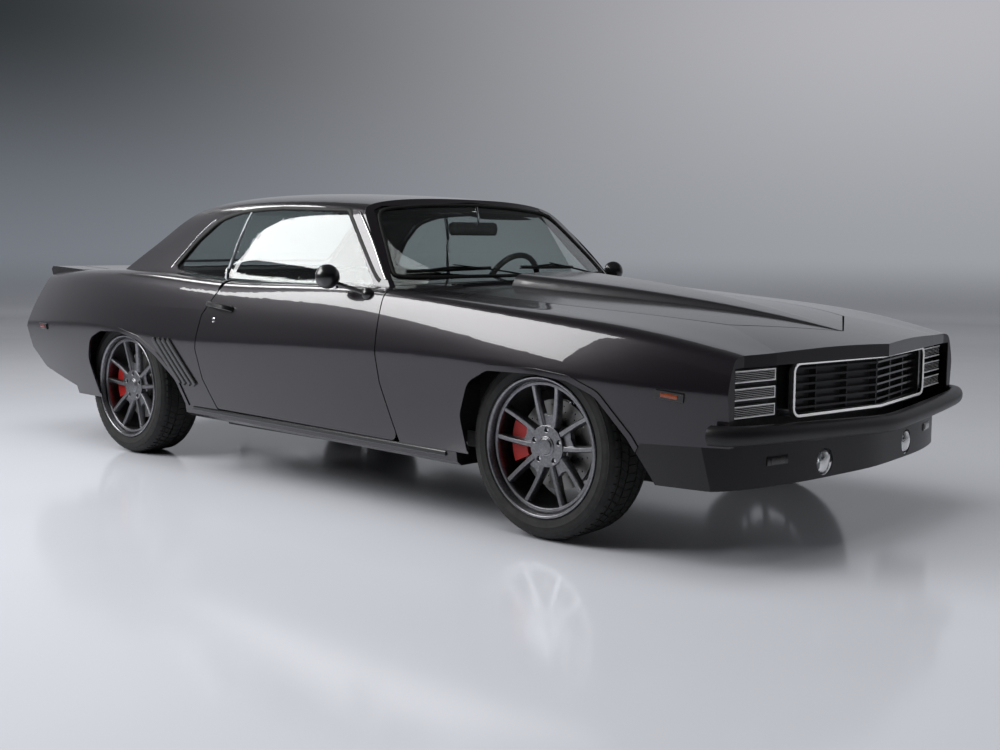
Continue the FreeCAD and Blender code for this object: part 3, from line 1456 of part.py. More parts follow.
def make_rear_seat():
    bench = side_prism(share_points(bench_shares), 0.0, -bench_half, bench_half)
    base = seat_pan_z + floor_thickness + seal_gap
    return bench.cut(box(px(-1.0), -half_width, 0, px(-0.7), half_width, base))


def make_steering_wheel():
    ring = Part.makeTorus(steering_radius, steering_rim, wheel_centre, column_lean)
    back = wheel_centre.sub(V(column_lean) * steering_dish)
    hub = tube_between(back, wheel_centre, 1.5 * column_radius)
    column = tube_between(wheel_centre.sub(V(column_lean) * column_length), back, column_radius)
    side = V(0, 1, 0)
    down = side.cross(column_lean) if side.cross(column_lean).z < 0 else column_lean.cross(side)
    root = wheel_centre.sub(V(column_lean) * (steering_dish / 3))
    spokes = []
    for turn in spoke_turns:
        way = side * math.cos(turn) + down * math.sin(turn)
        spokes.append(tube_between(root, wheel_centre.add(way * steering_radius), steering_spoke))
    return ring.fuse([hub, column] + spokes)


mirror_radius = 50.0
mirror_back_share = 0.44
mirror_centre = V(px(-0.3905), -1.0021 * half_width, pz(0.7124))
mirror_foot = V(px(-0.3300), -py(0.925), pz(0.6600))
stem_inset = 20.0
stem_radius = 9.0
foot_radius = 26.0


def make_mirror():
    c = mirror_centre
    r = 1.2 * mirror_radius
    head = Part.makeSphere(mirror_radius, c)
    head = head.common(box(c.x - mirror_back_share * mirror_radius, c.y - r, c.z - r, c.x + r, c.y + r, c.z + r))
    stem = tube_between(c.add(V(0, stem_inset, -stem_inset)), mirror_foot, stem_radius)
    return head.fuse([stem, Part.makeSphere(foot_radius, mirror_foot)]).cut(body_open)


# Assembly
def build():
    fender = make_fender()
    keep("fender_right", fender)
    keep("fender_left", mirrored(fender))
    keep("header_panel", make_header())
    keep("hood", make_hood())
    keep("front_valance", make_valance())
    keep("cowl", make_cowl())
    keep("roof", make_roof())
    keep("windscreen", make_windscreen())
    keep("rear_window", make_rear_window())
    quarter_glass = make_quarter_glass()
    keep("quarter_windows", both_sides(quarter_glass))
    quarter = make_quarter()
    spoiler_end = make_spoiler_section(-py(0.860), -py(0.694))
    quarter = quarter.fuse(spoiler_end)
    keep("quarter_right", quarter)
    keep("quarter_left", mirrored(quarter))
    keep("tail_panel", make_tail_panel())
    keep("rear_shelf", make_rear_shelf())
    keep("trunk_gutter", make_trunk_gutter())
    spoiler = make_spoiler_section(-py(0.684), py(0.684))
    keep("decklid", make_decklid().fuse(spoiler))
    door = make_door()
    glass = make_door_glass()
    mirror = make_mirror()
    keep("door_right", door)
    keep("door_left", mirrored(door))
    keep("door_glass_right", glass)
    keep("door_glass_left", mirrored(glass))
    keep("mirror_right", mirror)
    keep("mirror_left", mirrored(mirror))
    keep("grille_panel", make_grille_panel())
    keep("grille", make_grille())
    keep("headlamp_doors", both_sides(make_headlamp_door()))
    keep("front_bumper", make_front_bumper())
    keep("rear_bumper", make_rear_bumper())
    keep("fog_lamps", both_sides(make_fog_lamp()))
    lamps = make_tail_lamps()
    keep("tail_lamps", Part.makeCompound(lamps.Solids + mirrored(lamps).Solids))
    rocker = make_rocker()
    keep("floor_pan", make_floor(rocker).cut(mirrored(rocker)))
    keep("rocker_panels", both_sides(rocker))
    keep("front_frame", make_front_frame())
    keep("front_structure", make_front_structure())
    arms = make_arms()
    keep("control_arms", Part.makeCompound(arms + [mirrored(arm) for arm in arms]))
    keep("engine", make_engine())
    keep("rear_axle", make_rear_axle())
    keep("leaf_springs", both_sides(make_leaf_spring()))
    keep("exhaust", make_exhaust())
    keep("fuel_tank", make_fuel_tank())
    keep("dashboard", make_dashboard())
    keep("steering_wheel", make_steering_wheel())
    keep("front_seats", both_sides(make_front_seat()))
    keep("rear_seat", make_rear_seat())
    knuckle = make_knuckle()
    keep("knuckle_right", knuckle)
    keep("knuckle_left", mirrored(knuckle))
    for end, x in (("front", front_axle_x), ("rear", rear_axle_x)):
        tyre = make_tyre(x)
        wheel = make_rim(x).fuse(make_disc(x))
        keep("tyre_" + end + "_right", tyre)
        keep("tyre_" + end + "_left", mirrored(tyre))
        keep("wheel_" + end + "_right", wheel)
        keep("wheel_" + end + "_left", mirrored(wheel))


def write():
    for name, shape in NODES.items():
        shape.exportStep("parts/" + name + ".step")
        print(name, len(shape.Solids), shape.isValid(), round(shape.Volume / 1e6, 2))


build()
write()
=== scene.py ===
import math
import bpy
from mathutils import Matrix, Vector
from mathutils.bvhtree import BVHTree


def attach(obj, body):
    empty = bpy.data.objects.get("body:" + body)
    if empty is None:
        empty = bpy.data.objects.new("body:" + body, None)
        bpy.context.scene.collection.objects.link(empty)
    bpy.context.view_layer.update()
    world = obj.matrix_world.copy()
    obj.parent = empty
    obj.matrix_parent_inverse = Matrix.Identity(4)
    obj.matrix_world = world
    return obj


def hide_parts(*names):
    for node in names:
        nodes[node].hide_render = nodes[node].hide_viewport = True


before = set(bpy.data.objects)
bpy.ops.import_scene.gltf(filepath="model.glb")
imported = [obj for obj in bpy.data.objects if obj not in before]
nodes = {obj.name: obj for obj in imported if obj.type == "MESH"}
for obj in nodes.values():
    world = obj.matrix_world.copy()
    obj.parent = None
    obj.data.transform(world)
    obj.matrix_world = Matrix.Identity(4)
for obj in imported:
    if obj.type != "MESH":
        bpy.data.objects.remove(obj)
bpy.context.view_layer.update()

# The car's own sizes, in metres; +X forward, +Y to its left, +Z up
FRONT_AXLE = 1.4225
WHEELBASE = 2.743
REAR_AXLE = FRONT_AXLE - WHEELBASE
HALF_WIDTH = 0.94
HEIGHT = 1.297
TYRE_RADIUS = 0.338
TYRE_HALF = 0.116
TRACK_HALF = 0.752


def station(share):
    return FRONT_AXLE + share * WHEELBASE


def linear(code):
    """An sRGB hex colour as linear RGBA."""
    parts = [int(code[i:i + 2], 16) / 255 for i in (1, 3, 5)]
    return tuple(c / 12.92 if c <= 0.04045 else ((c + 0.055) / 1.055) ** 2.4 for c in parts) + (1.0,)


# Finishes

def add(tree, kind, settings=None, links=None):
    """Adds a shader node, sets its options and sockets, and joins its inputs."""
    made = tree.nodes.new("ShaderNode" + kind)
    for name, value in (settings or {}).items():
        if isinstance(name, str) and hasattr(made, name):
            setattr(made, name, value)
        else:
            made.inputs[name].default_value = value
    for name, source in (links or {}).items():
        tree.links.new(source, made.inputs[name])
    return made


def finish_of(name, shader, colour=None, roughness=None, bump=None, pores=None, bump_depth=0.0002):
    """A material; scales are in cells a metre. colour is (hex, hex, scale[, detail]), mixed by a noise.
    roughness and bump are (scale[, detail, low, high, stretch]) of a noise, pores the scale of cells."""
    material = bpy.data.materials.new(name)
    material.use_nodes = True
    tree = material.node_tree
    tree.nodes.clear()
    out = add(tree, "OutputMaterial")
    surface = add(tree, "BsdfPrincipled", shader)
    where = add(tree, "TexCoord").outputs["Object"]
    if colour:
        first, second, scale, detail = (colour + (3.0,))[:4]
        noise = add(tree, "TexNoise", {"Scale": scale, "Detail": detail}, {"Vector": where})
        share = add(tree, "MapRange", {"From Min": 0.35, "From Max": 0.65}, {"Value": noise.outputs["Fac"]})
        mix = add(tree, "Mix", {"data_type": "RGBA", 6: linear(first), 7: linear(second)},
            {"Factor": share.outputs["Result"]})
        tree.links.new(mix.outputs[2], surface.inputs["Base Color"])
    patterns = {}
    for target, given in (("Roughness", roughness), ("Height", bump)):
        if given:
            scale, detail, low, high, stretch = given + (3.0, 0.0, 1.0, None)[len(given) - 1:]
            at = where
            if stretch:
                at = add(tree, "Mapping", {"Scale": stretch}, {"Vector": where}).outputs["Vector"]
            noise = add(tree, "TexNoise", {"Scale": scale, "Detail": detail}, {"Vector": at})
            patterns[target] = add(tree, "MapRange", {"To Min": low, "To Max": high},
                {"Value": noise.outputs["Fac"]})
    if pores:
        cells = add(tree, "TexVoronoi", {"Scale": pores}, {"Vector": where})
        patterns["Height"] = add(tree, "MapRange", links={"Value": cells.outputs["Distance"]})
    if "Roughness" in patterns:
        tree.links.new(patterns["Roughness"].outputs["Result"], surface.inputs["Roughness"])
    if "Height" in patterns:
        relief = add(tree, "Bump", {"Strength": 1.0, "Distance": bump_depth},
            {"Height": patterns["Height"].outputs["Result"]})
        tree.links.new(relief.outputs["Normal"], surface.inputs["Normal"])
    tree.links.new(surface.outputs["BSDF"], out.inputs["Surface"])
    return material


# Metallic enamel under clear coat: a very dark plum-charcoal whose flakes, about 0.3 mm, are drawn at 0.6 mm.
body_enamel = finish_of("body_enamel", {"Metallic": 0.55, "Roughness": 0.3, "Coat Weight": 1.0,
    "Coat Roughness": 0.02}, colour=("#18151a", "#252026", 1600.0, 2.0))
# The hood and header carry a flatter dark enamel.
hood_enamel = finish_of("hood_enamel", {"Metallic": 0.45, "Roughness": 0.36, "Coat Weight": 1.0,
    "Coat Roughness": 0.12}, colour=("#1c1b1e", "#29282b", 1600.0, 2.0))
# Satin powder coat of the bumpers and the valance: a near-black that mirrors little.
finish_of("bumper_enamel", {"Metallic": 0.0, "Roughness": 0.4, "Specular IOR Level": 0.35,
    "Coat Weight": 0.15, "Coat Roughness": 0.2}, colour=("#121113", "#19181a", 1600.0, 2.0))
# Black enamel of the grille, headlamp doors, mirrors, louvres and other small black parts.
black_enamel = finish_of("black_enamel", {"Metallic": 0.0, "Roughness": 0.28, "Coat Weight": 0.6,
    "Coat Roughness": 0.08}, colour=("#0b0b0c", "#141416", 900.0))
# Stamped chassis steel under satin chassis paint.
chassis_paint = finish_of("chassis_paint", {"Roughness": 0.55}, colour=("#151516", "#232222", 60.0),
    roughness=(40.0, 4.0, 0.45, 0.7), bump=(260.0, 3.0))
# Polished stainless trim, with faint smears of about 11 mm.
polished_trim = finish_of("polished_trim", {"Base Color": linear("#d6d6d8"), "Metallic": 1.0,
    "Roughness": 0.1}, roughness=(90.0, 3.0, 0.06, 0.16))
# Bright trim with a satin anodised face, as round the grille.
satin_trim = finish_of("satin_trim", {"Base Color": linear("#ececee"), "Metallic": 0.25, "Roughness": 0.38},
    roughness=(200.0, 3.0, 0.32, 0.44))
# Chrome plate, slightly uneven in polish.
chrome_plate = finish_of("chrome_plate", {"Base Color": linear("#dcdcde"), "Metallic": 1.0,
    "Roughness": 0.05}, roughness=(60.0, 2.0, 0.03, 0.08))
# Forged aluminium, anodised gunmetal and brushed: fine lines about 1.4 mm long and 0.25 mm apart.
gunmetal_alloy = finish_of("gunmetal_alloy", {"Metallic": 1.0, "Roughness": 0.32},
    colour=("#7d7d80", "#929295", 120.0), roughness=(700.0, 4.0, 0.24, 0.42, (1.0, 1.0, 6.0)))
# Cast iron discs, turned bright, with a faint mottle of about 2 mm.
turned_iron = finish_of("turned_iron", {"Base Color": linear("#8d8c8a"), "Metallic": 1.0,
    "Roughness": 0.35}, roughness=(500.0, 2.0, 0.28, 0.5))
# Cast iron under engine paint, with a sandy skin of about 1.4 mm grain.
finish_of("rough_casting", {"Metallic": 0.6, "Roughness": 0.6}, colour=("#2b2a29", "#3c3a38", 150.0),
    bump=(700.0, 3.0), bump_depth=0.0004)
# Exhaust pipes, blotched by heat.
finish_of("pipe_steel", {"Metallic": 1.0, "Roughness": 0.4}, colour=("#8f8b84", "#6f6a62", 18.0),
    roughness=(60.0, 4.0, 0.3, 0.55))
# Machined and cast aluminium left raw, with a soft grain.
raw_aluminium = finish_of("raw_aluminium", {"Metallic": 1.0, "Roughness": 0.42},
    colour=("#8f9092", "#a2a3a5", 90.0), roughness=(260.0, 3.0, 0.34, 0.52))
# Dry soot inside the exhaust tips, with painted shade: its near-black also stands in for the shaded hollow of
# each pipe.
exhaust_soot = finish_of("exhaust_soot", {"Roughness": 0.9}, colour=("#050505", "#0d0c0b", 120.0))


# Brake castings: red powder coat on the calliper, bare dark iron on the rest, all with a cast skin.
# The calliper is what lies beyond this distance from the wheel's axis and from the middle of the car.
CALLIPER_REACH = 0.1165
CALLIPER_WIDTH = 0.7


def brake_casting(name, axle):
    """The castings at one axle, coloured by where they lie from its centre line."""
    material = finish_of(name, {"Roughness": 0.42}, bump=(700.0, 3.0))
    tree = material.node_tree
    where = add(tree, "TexCoord").outputs["Object"]
    offset = add(tree, "VectorMath", {"operation": "SUBTRACT", 1: (axle, 0.0, TYRE_RADIUS)}, {0: where})
    flat = add(tree, "VectorMath", {"operation": "MULTIPLY", 1: (1.0, 0.0, 1.0)},
        {0: offset.outputs["Vector"]})
    reach = add(tree, "VectorMath", {"operation": "LENGTH"}, {0: flat.outputs["Vector"]})
    aside = add(tree, "SeparateXYZ", links={"Vector": where})
    width = add(tree, "Math", {"operation": "ABSOLUTE"}, {0: aside.outputs["Y"]})
    outer = add(tree, "Math", {"operation": "GREATER_THAN", 1: CALLIPER_REACH}, {0: reach.outputs["Value"]})
    wide = add(tree, "Math", {"operation": "GREATER_THAN", 1: CALLIPER_WIDTH}, {0: width.outputs["Value"]})
    mask = add(tree, "Math", {"operation": "MULTIPLY"}, {0: outer.outputs["Value"],
        1: wide.outputs["Value"]})
    noise = add(tree, "TexNoise", {"Scale": 150.0, "Detail": 3.0}, {"Vector": where})
    iron = add(tree, "Mix", {"data_type": "RGBA", 6: linear("#2b2a29"), 7: linear("#3c3a38")},
        {"Factor": noise.outputs["Fac"]})
    mix = add(tree, "Mix", {"data_type": "RGBA", 7: linear("#a01a15")},
        {"Factor": mask.outputs["Value"], 6: iron.outputs[2]})
    surface = next(n for n in tree.nodes if n.type == "BSDF_PRINCIPLED")
    tree.links.new(mix.outputs[2], surface.inputs["Base Color"])


brake_casting("front_brake_casting", FRONT_AXLE)
brake_casting("rear_brake_casting", REAR_AXLE)
# Tyre rubber: carbon black with a fine moulded grain of about 0.6 mm.
tyre_rubber = finish_of("tyre_rubber", {"Roughness": 0.75}, colour=("#141414", "#1f1f1e", 35.0),
    roughness=(30.0, 4.0, 0.62, 0.85), bump=(1600.0, 2.0), bump_depth=0.0001)
# Matt black rubber of seals, pedals, hoses and leads.
seal_rubber = finish_of("seal_rubber", {"Roughness": 0.7}, colour=("#0c0c0c", "#151515", 200.0))
# Laminated and tempered glass, nearly clear with a grey-green cast.
finish_of("window_glass", {"Base Color": linear("#dfe6e4"), "Roughness": 0.0, "IOR": 1.5,
    "Transmission Weight": 1.0}, roughness=(6.0, 2.0, 0.0, 0.01))
# Clear moulded lamp glass, its surface rippled every 7 mm or so.
lamp_glass = finish_of("lamp_glass", {"Base Color": linear("#f2f4f4"), "Roughness": 0.03, "IOR": 1.5,
    "Transmission Weight": 1.0}, bump=(140.0, 1.0), bump_depth=0.0008)
# Red lens plastic, glossy over a moulded grain of about 4.5 mm.
red_lens = finish_of("red_lens", {"Roughness": 0.08, "IOR": 1.49, "Coat Weight": 1.0},
    colour=("#5e0a0a", "#7a0f0e", 90.0), bump=(220.0, 1.0, 0.0, 1.0, (1.0, 1.0, 3.0)), bump_depth=0.0006)
# Smoked lens of the valance lamps.
smoked_lens = finish_of("smoked_lens", {"Roughness": 0.08, "IOR": 1.49, "Coat Weight": 1.0},
    colour=("#0d0b0b", "#171312", 90.0), bump=(220.0, 1.0), bump_depth=0.0006)
# Second-surface mirror: aluminium behind glass.
silvered_glass = finish_of("silvered_glass", {"Base Color": linear("#d2d6d8"), "Metallic": 1.0,
    "Roughness": 0.02}, roughness=(8.0, 2.0, 0.01, 0.03))
# Satin anodised aluminium: window channel, lamp reflectors and dial rims.
satin_channel = finish_of("satin_channel", {"Base Color": linear("#85898d"), "Metallic": 0.5,
    "Roughness": 0.34}, roughness=(300.0, 3.0, 0.28, 0.42))
# Matt black wiper arms and rubber blades.
wiper_black = finish_of("wiper_black", {"Roughness": 0.45}, colour=("#0c0c0d", "#161617", 300.0),
    roughness=(400.0, 2.0, 0.38, 0.55))
# Amber of the front markers, dark until lit.
amber_lens = finish_of("amber_lens", {"Roughness": 0.1, "IOR": 1.49, "Coat Weight": 1.0},
    colour=("#702c06", "#8a3a0a", 90.0), bump=(220.0, 1.0), bump_depth=0.0006)
# Vinyl-coated dashboard and door cards with a moulded hide grain of about 1.5 mm.
dash_vinyl = finish_of("dash_vinyl", {"Roughness": 0.5}, colour=("#131314", "#1b1b1c", 60.0), pores=650.0)
# Leather with pores of about 1.2 mm.
black_leather = finish_of("black_leather", {"Roughness": 0.45}, colour=("#161617", "#202021", 40.0),
    roughness=(50.0, 4.0, 0.38, 0.55), pores=800.0, bump_depth=0.00015)
# Pale print, thread, filter paper and bottle plastic.
pale_print = finish_of("pale_print", {"Roughness": 0.6}, colour=("#b9b9b6", "#c9c9c6", 900.0))
# Loop carpet, tufts about 4 mm.
floor_carpet = finish_of("floor_carpet", {"Roughness": 0.95, "Sheen Weight": 0.3},
    colour=("#0d0d0d", "#1a1a1a", 250.0), pores=260.0, bump_depth=0.002)
# Woven headliner cloth with a nap of about 1 mm.
headliner_cloth = finish_of("headliner_cloth", {"Roughness": 0.9}, colour=("#151515", "#1f1f1f", 500.0),
    bump=(900.0,))


# Making pieces

def round_edges(obj, width, angle):
    edge = obj.modifiers.new("rounded_edges", "BEVEL")
    edge.width = width
    edge.segments = 2
    edge.limit_method = "ANGLE"
    edge.angle_limit = math.radians(angle)
    edge.harden_normals = True


def mesh_piece(name, points, faces, finish, body, slot, sharp=38.0, bevel=0.0):
    """A piece from points and faces, smooth up to an angle, its edges rounded by a bevel."""
    mesh = bpy.data.meshes.new(name)
    mesh.from_pydata([tuple(p) for p in points], [], faces)
    mesh.validate()
    mesh.polygons.foreach_set("use_smooth", [True] * len(mesh.polygons))
    mesh.set_sharp_from_angle(angle=math.radians(sharp))
    obj = bpy.data.objects.new(name, mesh)
    bpy.context.scene.collection.objects.link(obj)
    obj.data.materials.append(finish)
    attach(obj, body)
    if bevel:
        round_edges(obj, bevel, 40)
    return obj


def lathe(centre, along, profile, steps):
    """Points and faces of a form turned about a line, from (distance along, radius) pairs."""
    along = Vector(along).normalized()
    side = along.orthogonal().normalized()
    third = along.cross(side)
    count = len(profile)
    points, faces = [], []
    for index in range(steps):
        angle = 2 * math.pi * index / steps
        way = side * math.cos(angle) + third * math.sin(angle)
        points += [Vector(centre) + along * out + way * radius for out, radius in profile]
        one, other = index * count, ((index + 1) % steps) * count
        faces += [(one + j, other + j, other + j + 1, one + j + 1) for j in range(count - 1)]
    return points, faces


def smooth_line(knots, per_span):
    """Points along a smooth curve through knots."""
    knots = [Vector(k) for k in knots]
    line = []
    for index in range(len(knots) - 1):
        b, c = knots[index], knots[index + 1]
        a = knots[index - 1] if index else b * 2 - c
        d = knots[index + 2] if index + 2 < len(knots) else c * 2 - b
        for step in range(per_span):
            t = step / per_span
            line.append(0.5 * (2 * b + (c - a) * t + (2 * a - 5 * b + 4 * c - d) * t * t
                + (3 * b - 3 * c + d - a) * t ** 3))
    return line + [knots[-1]]


def carry(line, outward, section, closed=False, scale=None):
    """Points and faces of a section of (across, outward) points carried along a line."""
    count, around = len(line), len(section)
    points = []
    for index, at in enumerate(line):
        ahead = line[(index + 1) % count] if closed or index + 1 < count else at
        behind = line[index - 1] if closed or index else at
        along = (ahead - behind).normalized()
        out = outward[index] if isinstance(outward, list) else Vector(outward)
        across = along.cross(out).normalized()
        out = across.cross(along).normalized()
        size = scale[index] if scale else 1.0
        for a, b in section:
            points.append(at + across * a * size + out * b * size)
    faces = []
    for index in range(count if closed else count - 1):
        one, other = index * around, ((index + 1) % count) * around
        for j in range(around):
            k = (j + 1) % around
            faces.append((one + j, one + k, other + k, other + j))
    if not closed:
        faces.append(tuple(reversed(range(around))))
        faces.append(tuple((count - 1) * around + j for j in range(around)))
    return points, faces


def round_section(radius, sides):
    return [(radius * math.cos(2 * math.pi * k / sides), radius * math.sin(2 * math.pi * k / sides))
        for k in range(sides)]


def flat_section(width, height, sunk):
    """A low moulding: a foot sunk below the line, and rounded shoulders."""
    half = width / 2
    return [(-half, -sunk), (half, -sunk), (half, height * 0.55), (half * 0.72, height), (0.0, height),
        (-half * 0.72, height), (-half, height * 0.55)]


def joined(parts):
    """Several (points, faces) as one."""
    points, faces = [], []
    for some_points, some_faces in parts:
        shift = len(points)
        points += list(some_points)
        faces += [tuple(i + shift for i in face) for face in some_faces]
    return points, faces


BLOCK_FACES = [(0, 1, 3, 2), (4, 6, 7, 5), (0, 4, 5, 1), (2, 3, 7, 6), (0, 2, 6, 4), (1, 5, 7, 3)]


def block(low, high):
    """The corner points and faces of a block, to be rounded by a bevel."""
    points = [Vector((x, y, z)) for x in (low[0], high[0]) for y in (low[1], high[1])
        for z in (low[2], high[2])]
    return points, BLOCK_FACES


def flipped(points, faces):
    """The same form for the car's other side."""
    return [Vector((p[0], -p[1], p[2])) for p in points], [tuple(reversed(face)) for face in faces]


def both(name, form, finish, body, slot, **settings):
    """A piece on the right side and its mirror image on the left; a body name ending in _right gets _left."""
    points, faces = form
    mesh_piece(name + "_right", points, faces, finish, body, slot, **settings)
    other = body.replace("_right", "_left")
    mesh_piece(name + "_left", *flipped(points, faces), finish, other, slot, **settings)


def skin_of(*names):
    """The faces of some of the solids, to set trim on."""
    points, faces = [], []
    for name in names:
        mesh = nodes[name].data
        shift = len(points)
        points += [v.co.copy() for v in mesh.vertices]
        faces += [[i + shift for i in p.vertices] for p in mesh.polygons]
    return BVHTree.FromPolygons(points, faces)


def on_skin(tree, origin, direction):
    """Where a line from a point meets the skin, and the skin's outward direction there."""
    direction = Vector(direction).normalized()
    at, normal, index, distance = tree.ray_cast(Vector(origin), direction)
    if at is None:
        raise ValueError("no skin at " + str(tuple(origin)))
    return at, normal if normal.dot(direction) < 0 else -normal


# Finishes of the solids
node_finish = {"body_enamel": ["fender_right", "fender_left", "roof", "quarter_right", "quarter_left",
    "tail_panel", "door_right", "door_left", "cowl", "rocker_panels", "decklid"],
    "hood_enamel": ["hood", "header_panel"], "bumper_enamel": ["front_bumper", "rear_bumper",
    "front_valance"], "black_enamel": ["grille_panel", "grille", "headlamp_doors", "mirror_right",
    "mirror_left"], "chassis_paint": ["trunk_gutter", "floor_pan", "front_frame", "front_structure",
    "control_arms", "fuel_tank", "leaf_springs"], "window_glass": ["windscreen", "rear_window",
    "quarter_windows", "door_glass_right", "door_glass_left"], "lamp_glass": ["fog_lamps"],
    "red_lens": ["tail_lamps"], "rough_casting": ["engine"], "front_brake_casting": ["knuckle_right",
    "knuckle_left"], "rear_brake_casting": ["rear_axle"], "pipe_steel": ["exhaust"],
    "dash_vinyl": ["dashboard", "rear_shelf"], "black_leather": ["front_seats", "rear_seat",
    "steering_wheel"], "tyre_rubber": ["tyre_front_right", "tyre_front_left", "tyre_rear_right",
    "tyre_rear_left"], "gunmetal_alloy": ["wheel_front_right", "wheel_front_left", "wheel_rear_right",
    "wheel_rear_left"],}
for finish_name, names in node_finish.items():
    for name in names:
        for place in nodes[name].material_slots:
            place.material = bpy.data.materials[finish_name]


# Studio and camera

azimuth, elevation, roll = math.radians(42.66), math.radians(5.91), math.radians(0.37)
level = Vector((math.cos(azimuth), math.sin(azimuth), 0.0))
away = Vector((-math.sin(azimuth), math.cos(azimuth), 0.0))


def studio_paper():
    """Glossy pale floor paint that runs up into a backdrop whose glow is painted light, dark at the left and
    pale at the right.
    """
    material = finish_of("studio_paper", {"Roughness": 0.12, "Specular IOR Level": 0.5},
        colour=("#c3c5cc", "#c9cbd2", 0.4), roughness=(1.2, 2.0, 0.1, 0.16))
    tree = material.node_tree
    where = add(tree, "TexCoord").outputs["Object"]
    rise = add(tree, "SeparateXYZ", links={"Vector": where}).outputs["Z"]
    across = add(tree, "VectorMath", {"operation": "DOT_PRODUCT", 1: tuple(level)},
        {0: where}).outputs["Value"]
    beyond = add(tree, "VectorMath", {"operation": "DOT_PRODUCT", 1: tuple(away)},
        {0: where}).outputs["Value"]
    # How far each tone has given way to the next: across, up the wall, away from the camera, off the floor
    shares = []
    for value, low, high in ((across, -9.0, 8.0), (rise, 0.4, 5.0), (beyond, -5.0, 11.0), (rise, 0.0, 0.9)):
        share = add(tree, "MapRange", {"From Min": low, "From Max": high,
            "interpolation_type": "SMOOTHSTEP"}, {"Value": value})
        shares.append(share.outputs["Result"])
    sideways, upward, onward, off_floor = shares
    # Painted light on the wall: the glow of its foot and its top as the camera sees them, and the painted
    # reflection the car mirrors instead
    tones = []
    for factor, first, second in ((sideways, "#767b83", "#9b9ea3"), (sideways, "#2c3133", "#b6b6bb"),
            (onward, "#0c0c0d", "#a3a5aa")):
        tone = add(tree, "Mix", {"data_type": "RGBA", 6: linear(first), 7: linear(second)},
            {"Factor": factor})
        tones.append(tone.outputs[2])
    wall_foot, wall_top, mirrored = tones
    backdrop = add(tree, "Mix", {"data_type": "RGBA"}, {"Factor": upward, 6: wall_foot, 7: wall_top})
    path = add(tree, "LightPath")
    seen = add(tree, "Math", {"operation": "MAXIMUM"}, {0: path.outputs["Is Camera Ray"],
        1: path.outputs["Is Transmission Ray"]})
    shown = add(tree, "Mix", {"data_type": "RGBA"}, {"Factor": seen.outputs["Value"], 6: mirrored,
        7: backdrop.outputs[2]})
    # The wall glows with these tones: painted light standing in for the studio lamps on the backdrop, not a
    # lamp of its own
    glow = add(tree, "Emission", links={"Color": shown.outputs[2]})
    paint = next(n for n in tree.nodes if n.type == "BSDF_PRINCIPLED")
    out = next(n for n in tree.nodes if n.type == "OUTPUT_MATERIAL")
    wall = add(tree, "MixShader", links={0: off_floor, 1: paint.outputs["BSDF"],
        2: glow.outputs["Emission"]})
    tree.links.new(wall.outputs["Shader"], out.inputs["Surface"])
    return material


studio_floor = studio_paper()
bowl = [(0.0, 0.0), (0.0, 4.0), (0.0, 9.0), (0.0, 13.0), (0.12, 14.2), (0.6, 15.4), (1.5, 16.3),
    (3.0, 16.8), (6.0, 17.0), (10.0, 17.0)]
bowl_points, bowl_faces = lathe((0, 0, 0), (0, 0, 1), bowl, 72)
bowl_mesh = bpy.data.meshes.new("studio")
bowl_mesh.from_pydata([tuple(p) for p in bowl_points], [], bowl_faces)
bowl_mesh.polygons.foreach_set("use_smooth", [True] * len(bowl_mesh.polygons))
studio = bpy.data.objects.new("studio", bowl_mesh)
studio.data.materials.append(studio_floor)
bpy.context.scene.collection.objects.link(studio)


def soft_light(name, at, target, width, height, watts, mirrored=True):
    """A rectangular light that looks at a point; the car mirrors it unless told otherwise."""
    data = bpy.data.lights.new(name, "AREA")
    data.shape = "RECTANGLE"
    data.size, data.size_y, data.energy = width, height, watts
    lamp = bpy.data.objects.new(name, data)
    lamp.location = at
    lamp.rotation_euler = (Vector(target) - Vector(at)).to_track_quat("-Z", "Y").to_euler()
    lamp.visible_glossy = mirrored
    bpy.context.scene.collection.objects.link(lamp)


# A key light from the right, a small one for the line along the roof rail, and a wide one overhead
soft_light("key_light", (-3.04, -4.57, 4.2), (0.76, -0.87, 0.7), 4.25, 3.8, 408)
soft_light("roof_rail_light", (-5.59, -0.81, 5.41), (-1.79, 2.89, 1.91), 1.7, 1.9, 82)
soft_light("overhead_light", (1.0, -1.5, 6.0), (0.6, -1.0, 0.0), 6.0, 5.0, 330, False)

# A soft spot on the car's nose, which the car doesn't mirror
spot_data = bpy.data.lights.new("nose_light", "SPOT")
spot_data.energy = 560
spot_data.spot_size = math.radians(26)
spot_data.spot_blend = 1.0
spot_data.shadow_soft_size = 0.5
nose_light = bpy.data.objects.new("nose_light", spot_data)
nose_light.location = (6.2, -1.6, 1.1)
nose_light.rotation_euler = (Vector((2.2, 0.0, 0.55)) - nose_light.location).to_track_quat("-Z",
    "Y").to_euler()
nose_light.visible_glossy = False
bpy.context.scene.collection.objects.link(nose_light)

world = bpy.data.worlds.new("studio_air")
bpy.context.scene.world = world
world.use_nodes = True
air = next(n for n in world.node_tree.nodes if n.type == "BACKGROUND")
air.inputs["Color"].default_value = linear("#c4c6ca")
air.inputs["Strength"].default_value = 0.1

forward = Vector((-math.sin(azimuth) * math.cos(elevation), math.cos(azimuth) * math.cos(elevation),
    -math.sin(elevation)))
upright = level.cross(forward)
right_way = level * math.cos(roll) + upright * math.sin(roll)
up_way = upright * math.cos(roll) - level * math.sin(roll)
camera_data = bpy.data.cameras.new("camera")
camera_data.sensor_width = 36.0
camera_data.lens = 45.81
camera_at = Vector((4.3615, -4.26, 1.062))
camera = bpy.data.objects.new("camera", camera_data)
camera.matrix_world = Matrix(((right_way.x, up_way.x, -forward.x, camera_at.x),
    (right_way.y, up_way.y, -forward.y, camera_at.y), (right_way.z, up_way.z, -forward.z, camera_at.z),
    (0.0, 0.0, 0.0, 1.0)))
bpy.context.scene.collection.objects.link(camera)
bpy.context.scene.camera = camera
bpy.context.scene.view_settings.view_transform = "Standard"


# Tyres and wheels

